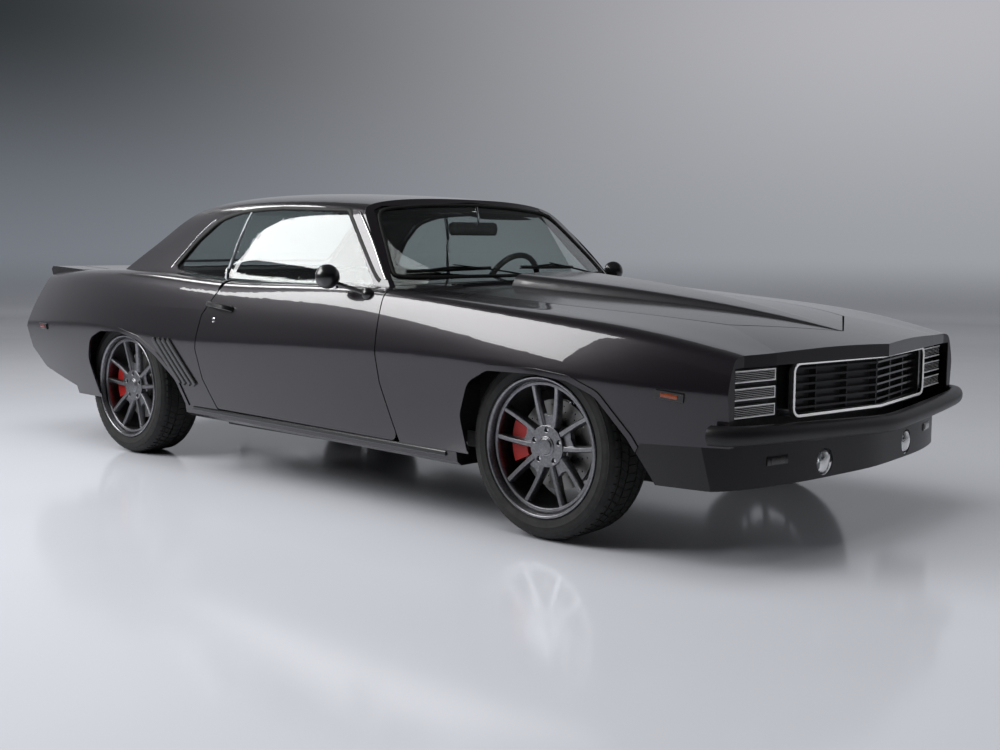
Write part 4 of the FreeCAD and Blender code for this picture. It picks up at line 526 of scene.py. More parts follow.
def tyre_form():
    """A low tyre about the Y axis: carcass with ribs on its walls, and five rows of tread blocks."""
    deep = 0.0075
    pitches = 68
    step = 2 * math.pi / pitches
    wall = [(0.104, 0.2445), (0.1045, 0.2585), (0.107, 0.26), (0.108, 0.264), (0.111, 0.265),
        (0.114, 0.276), (0.1155, 0.286), (0.116, 0.287), (0.116, 0.2885), (TYRE_HALF - 0.0006, 0.2895),
        (0.1148, 0.3), (0.1128, 0.308), (0.1105, 0.313), (0.1038, 0.322), (0.096, 0.3285),
        (0.0865, TYRE_RADIUS - deep)]
    profile = [(-out, radius) for out, radius in wall] + [(out, radius) for out, radius in reversed(wall)]
    parts = [lathe((0, 0, 0), (0, 1, 0), profile, 128)]
    bulge, tread_half, shoulder, shoulder_slope = 0.0035, 0.086, 0.084, 0.62

    def crown(y):
        """The radius at a distance from the middle: a slight bulge, then the slope of the shoulder."""
        return TYRE_RADIUS - bulge * (y / tread_half) ** 2 - max(0.0, abs(y) - shoulder) * shoulder_slope

    def tread(y0, y1, lean, gap, offset):
        """A row of blocks between two widths; lean, gap and offset are shares of a block's pitch."""
        points, faces = [], []
        for pitch in range(pitches):
            start = (pitch + offset) * step
            ends = []
            for y in (y0, (2 * y0 + y1) / 3, (y0 + 2 * y1) / 3, y1):
                slant = lean * (y - y0) / (y1 - y0) * step
                ends.append((y, start + slant + gap * step / 2, start + slant + (1 - gap / 2) * step))
            first = len(points)
            for y, a, b in ends:
                for angle, low in ((a, True), (a, False), ((2 * a + b) / 3, False),
                        ((a + 2 * b) / 3, False), (b, False), (b, True)):
                    radius = crown(y) - (deep + 0.002 if low else 0.0)
                    grow = 1.0 if low else 0.96
                    middle = (a + b) / 2
                    turn = middle + (angle - middle) * grow
                    points.append(Vector((radius * math.sin(turn), y, radius * math.cos(turn))))
            for row in range(3):
                for k in range(5):
                    i = first + row * 6 + k
                    faces.append((i, i + 1, i + 7, i + 6))
            for row, turned_over in ((0, True), (3, False)):
                base = first + row * 6
                ring = tuple(base + k for k in range(6))
                faces.append(tuple(reversed(ring)) if turned_over else ring)
        parts.append((points, faces))

    tread(-0.1105, -0.071, 0.1, 0.16, 0.0)
    tread(-0.0635, -0.03, 0.55, 0.13, 0.3)
    tread(-0.023, 0.023, 0.0, 0.08, 0.1)
    tread(0.03, 0.0635, 0.55, 0.13, 0.6)
    tread(0.071, 0.1105, 0.1, 0.16, 0.4)
    return joined(parts)


def ring_of_curves(loops, thickness, edge):
    """A flat plate in the XZ plane from circles (radius, x, z, sides): its outline, then its holes."""
    curve = bpy.data.curves.new("plate_line", "CURVE")
    curve.dimensions = "2D"
    curve.fill_mode = "BOTH"
    curve.extrude = thickness / 2 - edge
    curve.bevel_depth = edge
    curve.bevel_resolution = 1
    for radius, x, z, sides in loops:
        spline = curve.splines.new("POLY")
        spline.points.add(sides - 1)
        for k in range(sides):
            turn = 2 * math.pi * k / sides
            spline.points[k].co = (x + radius * math.cos(turn), z + radius * math.sin(turn), 0.0, 1.0)
        spline.use_cyclic_u = True
    holder = bpy.data.objects.new("plate_line", curve)
    bpy.context.scene.collection.objects.link(holder)
    bpy.context.view_layer.update()
    mesh = bpy.data.meshes.new_from_object(holder.evaluated_get(bpy.context.evaluated_depsgraph_get()))
    points = [Vector((v.co.x, -v.co.z, v.co.y)) for v in mesh.vertices]
    faces = [tuple(p.vertices) for p in mesh.polygons]
    bpy.data.objects.remove(holder)
    bpy.data.curves.remove(curve)
    bpy.data.meshes.remove(mesh)
    return points, faces


def moved(form, shift):
    points, faces = form
    return [p + Vector(shift) for p in points], faces


def wheel_parts():
    """A ten-spoke forged wheel about the Y axis, facing -Y: rim and spokes, then lug nuts and valve."""
    rim = [(-0.104, 0.2435), (-0.105, 0.257), (-0.111, 0.2575), (-0.113, 0.252), (-0.111, 0.245),
        (-0.098, 0.238), (-0.08, 0.227), (0.06, 0.2235), (0.074, 0.2215), (0.086, 0.222), (0.089, 0.224),
        (0.0895, 0.233), (0.087, 0.235), (0.08, 0.2362), (0.079, 0.2385), (0.081, 0.241), (0.101, 0.2425),
        (0.108, 0.244), (0.112, 0.2475), (0.113, 0.252), (0.111, 0.256), (0.107, 0.2575), (0.1045, 0.256),
        (0.104, 0.2435), (-0.104, 0.2435)]
    parts = [lathe((0, 0, 0), (0, -1, 0), rim, 128)]
    for pair in range(5):
        centre = 2 * math.pi * pair / 5
        along = Vector((math.sin(centre), 0, math.cos(centre)))
        across = Vector((math.cos(centre), 0, -math.sin(centre)))
        for side in (-1, 1):
            knots = [(0.04, 0.016, 0.068), (0.072, 0.0255, 0.069), (0.115, 0.0365, 0.072),
                (0.165, 0.0465, 0.078), (0.205, 0.0525, 0.084), (0.2285, 0.056, 0.0875)]
            line = smooth_line([along * r + across * side * off + Vector((0, -y, 0))
                for r, off, y in knots], 3)
            section = [(-0.0065, 0.0), (0.0065, 0.0), (0.0105, -0.006), (0.0125, -0.03), (-0.0125, -0.03),
                (-0.0105, -0.006)]
            flare = [1.25 - 0.3 * min(1.0, k / 9.0) + 0.18 * max(0.0, (k - 12) / 3.0)
                for k in range(len(line))]
            parts.append(carry(line, (0, -1, 0), section, scale=flare))
        web = []
        for r, off in ((0.05, 0.018), (0.08, 0.024), (0.104, 0.029), (0.116, 0.022), (0.11, 0.0),
                (0.116, -0.022), (0.104, -0.029), (0.08, -0.024), (0.05, -0.018)):
            web.append(along * r + across * off + Vector((0, -0.06, 0)))
        count = len(web)
        points = web + [p + Vector((0, 0.022, 0)) for p in web]
        faces = [tuple(range(count)), tuple(reversed(range(count, 2 * count)))]
        faces += [(k, k + count, (k + 1) % count + count, (k + 1) % count) for k in range(count)]
        parts.append((points, faces))
    lug_circle = 0.0603
    lugs = [(lug_circle * math.sin(2 * math.pi * k / 5), lug_circle * math.cos(2 * math.pi * k / 5))
        for k in range(5)]
    hub = ring_of_curves([(0.0745, 0.0, 0.0, 96)] + [(0.0115, x, z, 24) for x, z in lugs], 0.03, 0.002)
    parts.append(moved(hub, (0, -0.057, 0)))
    parts.append(lathe((0, 0, 0), (0, -1, 0), [(0.04, 0.078), (0.043, 0.0745), (0.043, 0.001)], 64))
    cap = [(0.068, 0.0385), (0.0735, 0.0375), (0.0755, 0.035), (0.076, 0.03), (0.0775, 0.029),
        (0.08, 0.027), (0.0806, 0.02), (0.081, 0.0004)]
    parts.append(lathe((0, 0, 0), (0, -1, 0), cap, 64))
    nuts = []
    for x, z in lugs:
        at = Vector((x, 0, z))
        nuts.append(lathe(at, (0, -1, 0), [(0.044, 0.0105), (0.046, 0.0088), (0.0465, 0.0082),
            (0.062, 0.008), (0.0645, 0.0068), (0.065, 0.0002)], 6))
    valve = Vector((0.212 * math.sin(0.63), 0, 0.212 * math.cos(0.63)))
    nuts.append(lathe(valve, (0, -1, 0), [(0.06, 0.0045), (0.072, 0.0042), (0.073, 0.0034), (0.09, 0.0032),
        (0.0915, 0.0022), (0.0915, 0.0002)], 12))
    return joined(parts), joined(nuts)


def disc_form():
    """A vented, drilled brake disc with its hat."""
    loops = [(0.165, 0.0, 0.0, 96), (0.074, 0.0, 0.0, 64)]
    for arm in range(16):
        for k in range(3):
            turn = 2 * math.pi * arm / 16 + 0.085 * k
            radius = 0.106 + 0.02 * k
            loops.append((0.0032, radius * math.cos(turn), radius * math.sin(turn), 10))
    face = ring_of_curves(loops, 0.007, 0.0006)
    parts = [moved(face, (0, -0.0085, 0)), moved(face, (0, 0.0085, 0))]
    parts.append(lathe((0, 0, 0), (0, -1, 0), [(-0.006, 0.082), (0.006, 0.082)], 64))
    for vane in range(40):
        turn = 2 * math.pi * vane / 40
        along = Vector((math.sin(turn), 0, math.cos(turn)))
        across = Vector((math.cos(turn), 0, -math.sin(turn)))
        corners = [along * r + across * t + Vector((0, y, 0)) for r in (0.084, 0.163)
            for t in (-0.0022, 0.0022) for y in (-0.0055, 0.0055)]
        parts.append((corners, BLOCK_FACES))
    parts.append(lathe((0, 0, 0), (0, -1, 0), [(-0.01, 0.0755), (-0.008, 0.0775), (0.034, 0.0765),
        (0.0385, 0.0735), (0.0395, 0.06), (0.0395, 0.025)], 64))
    return joined(parts)


tyre_points, tyre_faces = tyre_form()
(rim_points, rim_faces), (nut_points, nut_faces) = wheel_parts()
disc_points, disc_faces = disc_form()
wheel_meshes = {}
wheel_pieces = [("tyre", tyre_points, tyre_faces, tyre_rubber, "tyre", 30.0),
    ("wheel", rim_points, rim_faces, gunmetal_alloy, "wheel_alloy", 32.0),
    ("lug_nuts", nut_points, nut_faces, chrome_plate, "wheel_alloy", 30.0),
    ("brake_disc", disc_points, disc_faces, turned_iron, "axle_iron", 35.0)]
for end, axle in (("front", FRONT_AXLE), ("rear", REAR_AXLE)):
    for side in (-1, 1):
        name = end + ("_right" if side < 0 else "_left")
        body = "wheel_" + name
        place = Matrix.Translation((axle, side * TRACK_HALF, TYRE_RADIUS))
        if side > 0:
            place = place @ Matrix.Rotation(math.pi, 4, "Z")
        for kind, points, faces, finish, slot, sharp in wheel_pieces:
            if kind not in wheel_meshes:
                mesh = bpy.data.meshes.new(kind)
                mesh.from_pydata([tuple(p) for p in points], [], faces)
                mesh.polygons.foreach_set("use_smooth", [True] * len(mesh.polygons))
                mesh.set_sharp_from_angle(angle=math.radians(sharp))
                mesh.materials.append(finish)
                wheel_meshes[kind] = mesh
            made = bpy.data.objects.new(kind + "_detail_" + name, wheel_meshes[kind])
            bpy.context.scene.collection.objects.link(made)
            made.matrix_world = place
            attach(made, body)
            if kind == "tyre":
                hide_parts("tyre_" + name)
            if kind == "wheel":
                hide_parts("wheel_" + name)
                round_edges(made, 0.0012, 32)


# Outside trim

side_skin = skin_of("fender_right", "door_right", "quarter_right")
roof_skin = skin_of("roof")


def side_at(x, z, lift=0.0):
    """A point on the right side of the body at a station and height, and the outward direction there."""
    at, normal = on_skin(side_skin, (x, -1.3, z), (0, 1, 0))
    return at + normal * lift, normal


def pillar_at(x, z, lift=0.0):
    """The point of the right side of the roof and its pillars that is nearest to a station and height."""
    width = HALF_WIDTH * (0.795 - 0.45 * max(0.0, z / HEIGHT - 0.72) ** 0.9)
    at, normal, index, distance = roof_skin.find_nearest(Vector((x, -width, z)))
    return at + normal * lift, normal


# Door handle: a flat bar on two feet, with its push button, and the lock below it
rear_foot, out_way = side_at(-0.529, 0.777)
front_foot, out_front = side_at(-0.369, 0.7615)
along_bar = (front_foot - rear_foot).normalized()
grip = smooth_line([rear_foot + out_way * 0.004 - along_bar * 0.014, rear_foot + out_way * 0.02,
    rear_foot + out_way * 0.034 + along_bar * 0.03, (rear_foot + front_foot) / 2 + out_way * 0.038,
    front_foot + out_front * 0.034 - along_bar * 0.03, front_foot + out_front * 0.02,
    front_foot + out_front * 0.004 + along_bar * 0.014], 5)
bar_section = [(-0.0095, -0.004), (0.0095, -0.004), (0.011, 0.0005), (0.008, 0.0045), (-0.008, 0.0045),
    (-0.011, 0.0005)]
both("door_handle", carry(grip, out_way, bar_section), black_enamel, "door_right", "mirror_housing",
    sharp=50.0)
pads = []
for foot, way in ((rear_foot, out_way), (front_foot, out_front)):
    pads.append(lathe(foot - way * 0.003, way, [(0.0, 0.017), (0.005, 0.017), (0.0075, 0.0145),
        (0.008, 0.0002)], 28))
both("door_handle_pads", joined(pads), seal_rubber, "door_right", "ribbed_trim")
button_at = rear_foot + out_way * 0.006 + Vector((0, 0, 0.002))
both("door_button", lathe(button_at, out_way, [(0.0, 0.0085), (0.012, 0.0085), (0.0145, 0.007),
    (0.015, 0.0002)], 24), chrome_plate, "door_right", "bumper_paint")
lock_at, lock_way = side_at(-0.485, 0.709)
both("door_lock", lathe(lock_at - lock_way * 0.002, lock_way,
    [(0.0, 0.0115), (0.0045, 0.011), (0.006, 0.0085), (0.0045, 0.007), (0.0045, 0.0002)], 24), chrome_plate,
    "door_right", "bumper_paint")


def side_line(marks, lift, per_span, at=None):
    """A smooth line over the side skin through (x, z) marks, with its outward directions."""
    flat = smooth_line([(x, 0.0, z) for x, z in marks], per_span)
    found = [(at or side_at)(p.x, p.z, lift) for p in flat]
    return [f[0] for f in found], [f[1] for f in found]


# Side marker lamps: an amber lens ahead, a red one behind, each in a dark frame
def marker(name, x0, z0, x1, z1, tall, lens, slot):
    ends, ways = side_line([(x0, z0), ((x0 + x1) / 2, (z0 + z1) / 2), (x1, z1)], 0.0, 5)
    frame_line = [e + w * 0.001 for e, w in zip(ends, ways)]
    frame_section = [(-tall * 0.62, -0.004), (tall * 0.62, -0.004), (tall * 0.62, 0.002),
        (tall * 0.52, 0.006), (-tall * 0.52, 0.006), (-tall * 0.62, 0.002)]
    both(name + "_frame", carry(frame_line, ways, frame_section), black_enamel, "shell", "bumper_paint",
        bevel=0.001)
    lens_section = [(-tall * 0.3, 0.0), (tall * 0.3, 0.0), (tall * 0.28, 0.007), (0.0, 0.0085),
        (-tall * 0.28, 0.007)]
    both(name + "_lens", carry(frame_line[2:-2], ways[2:-2], lens_section), lens, "shell", slot,
        bevel=0.0008)


marker("front_marker", 1.9435, 0.579, 2.042, 0.569, 0.026, amber_lens, "clear_lens")
marker("rear_marker", -2.12, 0.605, -2.025, 0.605, 0.026, red_lens, "red_lens")

# Louvres ahead of the rear wheel: four slanted blades
blades = []
for k in range(4):
    shift = 0.04 * k
    line, ways = side_line([(-0.95 + shift, 0.598), (-0.86 + shift, 0.499), (-0.768 + shift, 0.399)], 0.0,
        6)
    blades.append(carry(line, ways, [(-0.015, -0.003), (0.012, -0.003), (0.013, 0.002), (0.006, 0.009),
        (-0.012, 0.01), (-0.0165, 0.006)]))
both("side_louvres", joined(blades), black_enamel, "shell", "bumper_paint", sharp=45.0, bevel=0.0008)

# A strip covers the sill's seam
sill_line, sill_ways = [], []
for k in range(15):
    x = station(-0.165) + (station(-0.775) - station(-0.165)) * k / 14
    z = (0.211 + 0.0165 * (x - station(-0.145)) / (station(-0.8) - station(-0.145))) * HEIGHT - 0.009
    sill_line.append(Vector((x, -0.936 * HALF_WIDTH, z)))
    sill_ways.append(Vector((0, -1, 0)))
both("sill_strip", carry(sill_line, sill_ways, flat_section(0.018, 0.005, 0.002)), black_enamel, "shell",
    "bumper_paint")


# The seal round the side windows
def window_edge(shares):
    return [(station(s), h * HEIGHT) for s, h in shares]


upper_edge = window_edge([(-0.36, 0.7), (-0.3725, 0.72), (-0.418, 0.816), (-0.46, 0.904), (-0.476, 0.926),
    (-0.5, 0.932), (-0.57, 0.936), (-0.64, 0.9385), (-0.7, 0.935), (-0.745, 0.927), (-0.78, 0.912),
    (-0.808, 0.892), (-0.835, 0.856), (-0.86, 0.817), (-0.884, 0.766), (-0.9, 0.728)])
seal_line, seal_ways = side_line(upper_edge, -0.004, 4, pillar_at)
both("window_seal", carry(seal_line, seal_ways, flat_section(0.02, 0.006, 0.006)), seal_rubber, "shell",
    "ribbed_trim", sharp=60.0)


# Cabin

def cushion(size, crown, pull, rows, channels=(), bolster=0.0):
    """A stuffed form about the origin: fat in the middle, drawn in between corners, with sewn channels."""
    wide, deep, tall = size
    points, faces = [], []
    index_of = {}
    groove, groove_width = 0.006, 0.022

    def shape(a, b, c):
        edge = (1 - abs(a) ** 4) * (1 - abs(b) ** 4)
        x = a * wide / 2 * (1 - pull * (1 - b * b)) * (1 - 0.1 * c * c)
        y = b * deep / 2 * (1 - pull * (1 - a * a)) * (1 - 0.1 * c * c)
        z = c * (tall / 2 * (0.55 + 0.45 * max(0.0, edge) ** 0.5) + crown * max(0.0, edge) ** 0.8)
        if c > 0.5:
            for at in channels:
                z -= groove * math.exp(-((a - at) / groove_width) ** 2) * min(1.0, edge * 3)
            z += bolster * abs(a) ** 6 * (1 - b ** 8)
        return Vector((x, y, z))

    def vertex(a, b, c):
        key = (round(a, 5), round(b, 5), round(c, 5))
        if key not in index_of:
            index_of[key] = len(points)
            points.append(shape(a, b, c))
        return index_of[key]

    def quad(corners):
        faces.append(tuple(vertex(*corner) for corner in corners))

    step = 2.0 / rows
    for i in range(rows):
        for j in range(rows):
            a0, a1, b0, b1 = -1 + i * step, -1 + (i + 1) * step, -1 + j * step, -1 + (j + 1) * step
            quad([(a0, b0, 1), (a1, b0, 1), (a1, b1, 1), (a0, b1, 1)])
            quad([(a0, b1, -1), (a1, b1, -1), (a1, b0, -1), (a0, b0, -1)])
    levels = [-1, -0.6, -0.2, 0.2, 0.6, 1]
    for c0, c1 in zip(levels, levels[1:]):
        for i in range(rows):
            t0, t1 = -1 + i * step, -1 + (i + 1) * step
            quad([(t0, -1, c0), (t1, -1, c0), (t1, -1, c1), (t0, -1, c1)])
            quad([(t1, 1, c0), (t0, 1, c0), (t0, 1, c1), (t1, 1, c1)])
            quad([(-1, t1, c0), (-1, t0, c0), (-1, t0, c1), (-1, t1, c1)])
            quad([(1, t0, c0), (1, t1, c0), (1, t1, c1), (1, t0, c1)])
    return points, faces


def piping(size, pull, level, radius):
    """The welt sewn round a cushion's edge."""
    wide, deep, tall = size
    line = []
    for start, end in (((-1, -1), (1, -1)), ((1, -1), (1, 1)), ((1, 1), (-1, 1)), ((-1, 1), (-1, -1))):
        for k in range(10):
            t = k / 10
            a, b = start[0] + (end[0] - start[0]) * t, start[1] + (end[1] - start[1]) * t
            line.append(Vector((a * wide / 2 * (1 - pull * (1 - b * b)) * 0.92,
                b * deep / 2 * (1 - pull * (1 - a * a)) * 0.92, level)))
    return carry(line, (0, 0, 1), round_section(radius, 8), closed=True)


def posed(form, centre, front, up):
    """Turns a form so that its own Y looks forward along a direction and its Z along another."""
    points, faces = form
    forth = Vector(front).normalized()
    high = (Vector(up) - forth * forth.dot(Vector(up))).normalized()
    side = forth.cross(high)
    return [Vector(centre) + side * p.x + forth * p.y + high * p.z for p in points], faces


def upholstery(name, tag, size, at, front, up, crown, pull, channels, bolster, welt_radius):
    """A padded piece with sewn channels, and the welt round its edge."""
    form = posed(cushion(size, crown, pull, 44, channels, bolster), at, front, up)
    pad = mesh_piece(name + tag, *form, black_leather, "shell", "seat_leather", sharp=70.0)
    welt = posed(piping(size, pull, size[2] * 0.3, welt_radius), at, front, up)
    mesh_piece(name + "_welt" + tag, *welt, black_leather, "shell", "seat_leather", sharp=80.0)
    return pad


def seat(y, tag):
    """A bucket seat on its runners."""
    base_front, base_up = (0.998, 0, 0.068), (-0.068, 0, 0.998)
    back_front, back_up = (-0.3, 0, 0.954), (0.954, 0, 0.3)
    marks = (-0.56, -0.28, 0.0, 0.28, 0.56)
    pad = upholstery("seat_cushion", tag, (0.44, 0.44, 0.105), (-0.095, y, 0.372), base_front, base_up,
        0.012, 0.045, marks, 0.02, 0.0038)
    upholstery("seat_back", tag, (0.44, 0.5, 0.075), (-0.425, y, 0.63), back_front, back_up, 0.012, 0.045,
        marks, 0.02, 0.0038)
    shell_form = posed(block((-0.205, -0.245, -0.012), (0.205, 0.235, 0.012)), (-0.487, y, 0.6), back_front,
        back_up)
    mesh_piece("seat_back_panel" + tag, *shell_form, dash_vinyl, "shell", "interior_plastic", bevel=0.01)
    pan = posed(block((-0.2, -0.2, -0.02), (0.2, 0.2, 0.02)), (-0.11, y, 0.302), base_front, base_up)
    mesh_piece("seat_pan" + tag, *pan, dash_vinyl, "shell", "interior_plastic", bevel=0.008)
    runners = []
    for off in (-0.15, 0.15):
        runners.append(block((-0.32, y + off - 0.018, 0.2195), (0.1, y + off + 0.018, 0.242)))
        runners.append(block((-0.27, y + off - 0.01, 0.24), (-0.23, y + off + 0.01, 0.29)))
        runners.append(block((0.01, y + off - 0.01, 0.24), (0.05, y + off + 0.01, 0.29)))
    mesh_piece("seat_runners" + tag, *joined(runners), chassis_paint, "shell", "chassis_black", bevel=0.002)
    return pad


seats = [seat(-0.38, "_right"), seat(0.38, "_left")]
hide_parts("front_seats")

rear_marks = (-0.6, -0.3, 0.0, 0.3, 0.6)
for side, tag in ((-1, "_right"), (1, "_left")):
    upholstery("rear_cushion", tag, (0.52, 0.38, 0.13), (-0.835, side * 0.29, 0.42), (0.995, 0, 0.1),
        (-0.1, 0, 0.995), 0.014, 0.035, rear_marks, 0.006, 0.004)
    upholstery("rear_back", tag, (0.54, 0.44, 0.095), (-1.068, side * 0.285, 0.645), (-0.33, 0, 0.944),
        (0.944, 0, 0.33), 0.014, 0.035, rear_marks, 0.006, 0.004)
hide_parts("rear_seat")
bulkhead = posed(block((-0.56, -0.22, -0.006), (0.56, 0.285, 0.006)), (-1.13, 0.0, 0.624),
    (-0.33, 0, 0.944), (0.944, 0, 0.33))
mesh_piece("rear_bulkhead", *bulkhead, floor_carpet, "shell", "interior_plastic", bevel=0.004)


# Front face: a satin surround round the grille, bright edges on the headlamp doors

def nose_at(y, z, back):
    """A point on the V-shaped front face, or behind it."""
    return Vector((station(0.318) - 0.1412 * abs(y) - back, y, z))


def rounded_loop(half, low, high, radius, back):
    """A closed line round the grille, with rounded corners and a break at the middle of its V."""
    steps = 7
    flat = []
    for y, z, start in ((half - radius, high - radius, 0.0), (-half + radius, high - radius, 0.5 * math.pi),
            (-half + radius, low + radius, math.pi), (half - radius, low + radius, 1.5 * math.pi)):
        for k in range(steps + 1):
            turn = start + 0.5 * math.pi * k / steps
            flat.append((y + radius * math.cos(turn), z + radius * math.sin(turn)))
        if start in (0.0, math.pi):
            flat.append((0.0, high if start == 0.0 else low))
    return [nose_at(y, z, back) for y, z in flat]


mesh_piece("grille_surround_trim", *carry(rounded_loop(0.4935, 0.4915, 0.6685, 0.03, -0.0005), (1, 0, 0),
    flat_section(0.0095, 0.003, 0.001), closed=True), satin_trim, "shell", "bumper_paint", sharp=60.0,
    bevel=0.0006)
mesh_piece("grille_surround_seal", *carry(rounded_loop(0.502, 0.4835, 0.6765, 0.036, 0.006), (1, 0, 0),
    flat_section(0.008, 0.003, 0.004), closed=True), seal_rubber, "shell", "ribbed_trim", sharp=60.0)

# Headlamp doors: a bright line above and below each frame, one at its inner end, and six thin ribs
LAMP_MIDDLE, LAMP_PITCH, LAMP_BACK = 0.58, 0.05803, 0.0215
edges = []
for group in (-1, 0, 1):
    middle = LAMP_MIDDLE + group * LAMP_PITCH
    for z, tall in ((middle + 0.0182, 0.0036), (middle - 0.0182, 0.0036)):
        edges.append(carry([nose_at(-0.563, z, LAMP_BACK), nose_at(-0.67, z, LAMP_BACK),
            nose_at(-0.779, z, LAMP_BACK)], (1, 0, 0), flat_section(tall, 0.0016, 0.001)))
    edges.append(carry([nose_at(-0.564, middle - 0.018, LAMP_BACK), nose_at(-0.564, middle, LAMP_BACK),
        nose_at(-0.564, middle + 0.018, LAMP_BACK)], (1, 0, 0), flat_section(0.0026, 0.0014, 0.001)))
    for rib in range(6):
        z = middle - 0.02 + 0.04 * (rib + 1) / 7
        edges.append(carry([nose_at(-0.568, z, LAMP_BACK), nose_at(-0.67, z, LAMP_BACK),
            nose_at(-0.776, z, LAMP_BACK)], (1, 0, 0), flat_section(0.0008, 0.0008, 0.001)))
both("headlamp_door_edges", joined(edges), satin_trim, "shell", "bumper_paint", sharp=60.0)

# Fog lamps: a domed, fluted lens before a reflector, in a black shell
FOG = Vector((station(0.2985), -0.314, 0.322))
lens_profile = [(0.0155, 0.0002), (0.0151, 0.012), (0.0134, 0.022), (0.0105, 0.032), (0.006, 0.0415),
    (-0.001, 0.0448), (-0.0022, 0.0436), (0.0035, 0.04), (0.0078, 0.031), (0.0108, 0.021), (0.0124, 0.011),
    (0.0126, 0.0002)]
both("fog_lens", lathe(FOG, (1, 0, 0), lens_profile, 56), lamp_glass, "shell", "clear_lens", sharp=50.0)
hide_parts("fog_lamps")
both("fog_reflector", lathe(FOG, (1, 0, 0), [(-0.003, 0.044), (-0.01, 0.0415), (-0.023, 0.034),
    (-0.033, 0.024), (-0.039, 0.012), (-0.04, 0.007), (-0.042, 0.0065), (-0.04, 0.013), (-0.0345, 0.0255),
    (-0.024, 0.036), (-0.0105, 0.0432)], 56), satin_channel, "shell", "clear_lens")
both("fog_bulb", lathe(FOG, (1, 0, 0), [(-0.0415, 0.0062), (-0.03, 0.006), (-0.029, 0.0052),
    (-0.016, 0.005), (-0.0125, 0.0032), (-0.0115, 0.0002)], 20), lamp_glass, "shell", "clear_lens")
both("fog_shell", lathe(FOG, (1, 0, 0), [(0.001, 0.0449), (0.003, 0.0452), (0.0035, 0.0462),
    (0.001, 0.0468), (-0.02, 0.0466), (-0.042, 0.038), (-0.058, 0.022), (-0.06, 0.0002)], 56), black_enamel,
    "shell", "bumper_paint")

front_skin = skin_of("front_valance", "front_bumper")
lamp_line, lamp_ways = [], []
for k in range(7):
    at, way = on_skin(front_skin, (2.7, -0.52 - 0.016 * k, 0.352), (-1, 0, 0))
    lamp_line.append(at + way * 0.0008)
    lamp_ways.append(way)
both("valance_lamp_frame", carry(lamp_line, lamp_ways, [(-0.015, -0.003), (0.015, -0.003), (0.015, 0.0015),
    (0.0125, 0.003), (-0.0125, 0.003), (-0.015, 0.0015)]), black_enamel, "shell", "bumper_paint",
    bevel=0.0008)
both("valance_lamp", carry(lamp_line[1:-1], lamp_ways[1:-1],
    [(-0.0105, 0.0), (0.0105, 0.0), (0.0098, 0.0042), (0.0, 0.0052), (-0.0098, 0.0042)]), smoked_lens,
    "shell", "clear_lens", bevel=0.0006)

# Mouldings of the greenhouse
rear_edge = window_edge([(-0.9105, 0.72), (-0.902, 0.744), (-0.878, 0.796), (-0.856, 0.842),
    (-0.831, 0.882), (-0.816, 0.899)])
moulding_line, moulding_ways = side_line(rear_edge, 0.0015, 5, pillar_at)
both("quarter_moulding", carry(moulding_line, moulding_ways, flat_section(0.006, 0.003, 0.003)),
    polished_trim, "shell", "bumper_paint", sharp=60.0)
pillar_edge = window_edge([(-0.348, 0.706), (-0.37, 0.762), (-0.396, 0.823), (-0.426, 0.885),
    (-0.448, 0.928)])
for name, shift, finish, slot in (("pillar_moulding", 0.0, polished_trim, "bumper_paint"),
        ("pillar_seal", 0.008, seal_rubber, "ribbed_trim")):
    line, ways = side_line([(x + shift, z) for x, z in pillar_edge], 0.001, 6, pillar_at)
    both(name, carry(line, ways, flat_section(0.006, 0.003, 0.003)), finish, "shell", slot, sharp=60.0)


def screen_edge(shares, grow, from_x, skin, lift):
    """A closed line round a screen opening, laid on the skin seen from the front or the back."""
    half = [Vector((0.0, w * HALF_WIDTH, h * HEIGHT)) for w, h in shares]
    flat = [Vector((0, -p.y, p.z)) for p in half] + half[-2:0:-1]
    middle = sum((p.z for p in flat), 0.0) / len(flat)
    rounder = []
    for index, p in enumerate(flat):
        q = flat[(index + 1) % len(flat)]
        count = max(2, int((q - p).length / 0.035))
        rounder += [p.lerp(q, k / count) for k in range(count)]
    for turn in range(3):
        rounder = [(rounder[i - 1] + 2 * rounder[i] + rounder[(i + 1) % len(rounder)]) / 4
            for i in range(len(rounder))]
    line, ways = [], []
    count = len(rounder)
    for index, p in enumerate(rounder):
        along = (rounder[(index + 1) % count] - rounder[index - 1]).normalized()
        out = Vector((0, along.z, -along.y))
        if out.dot(Vector((0, p.y, p.z - middle))) < 0:
            out = -out
        at = p + out * grow
        hit, way = on_skin(skin, (from_x, at.y, at.z), (-1 if from_x > 0 else 1, 0, 0))
        line.append(hit + way * lift)
        ways.append(way)
    return line, ways


front_glass_skin = skin_of("windscreen", "roof", "cowl")
front_frame_shares = [(0.0, 0.702), (0.4, 0.701), (0.66, 0.7), (0.74, 0.703), (0.746, 0.72), (0.618, 0.923),
    (0.56, 0.938), (0.3, 0.953), (0.0, 0.959)]
screen_line, screen_ways = screen_edge(front_frame_shares, -0.01, 2.0, front_glass_skin, 0.001)
mesh_piece("windscreen_seal", *carry(screen_line, screen_ways, flat_section(0.016, 0.006, 0.002),
    closed=True), seal_rubber, "shell", "ribbed_trim", sharp=70.0)
rear_glass_skin = skin_of("rear_window", "roof", "rear_shelf")
rear_frame_shares = [(0.0, 0.733), (0.5, 0.73), (0.608, 0.73), (0.598, 0.76), (0.508, 0.928),
    (0.428, 0.944), (0.2, 0.956), (0.0, 0.958)]
back_line, back_ways = screen_edge(rear_frame_shares, -0.009, -3.2, rear_glass_skin, 0.001)
mesh_piece("rear_window_seal", *carry(back_line, back_ways, flat_section(0.016, 0.006, 0.002), closed=True),
    seal_rubber, "shell", "ribbed_trim", sharp=70.0)

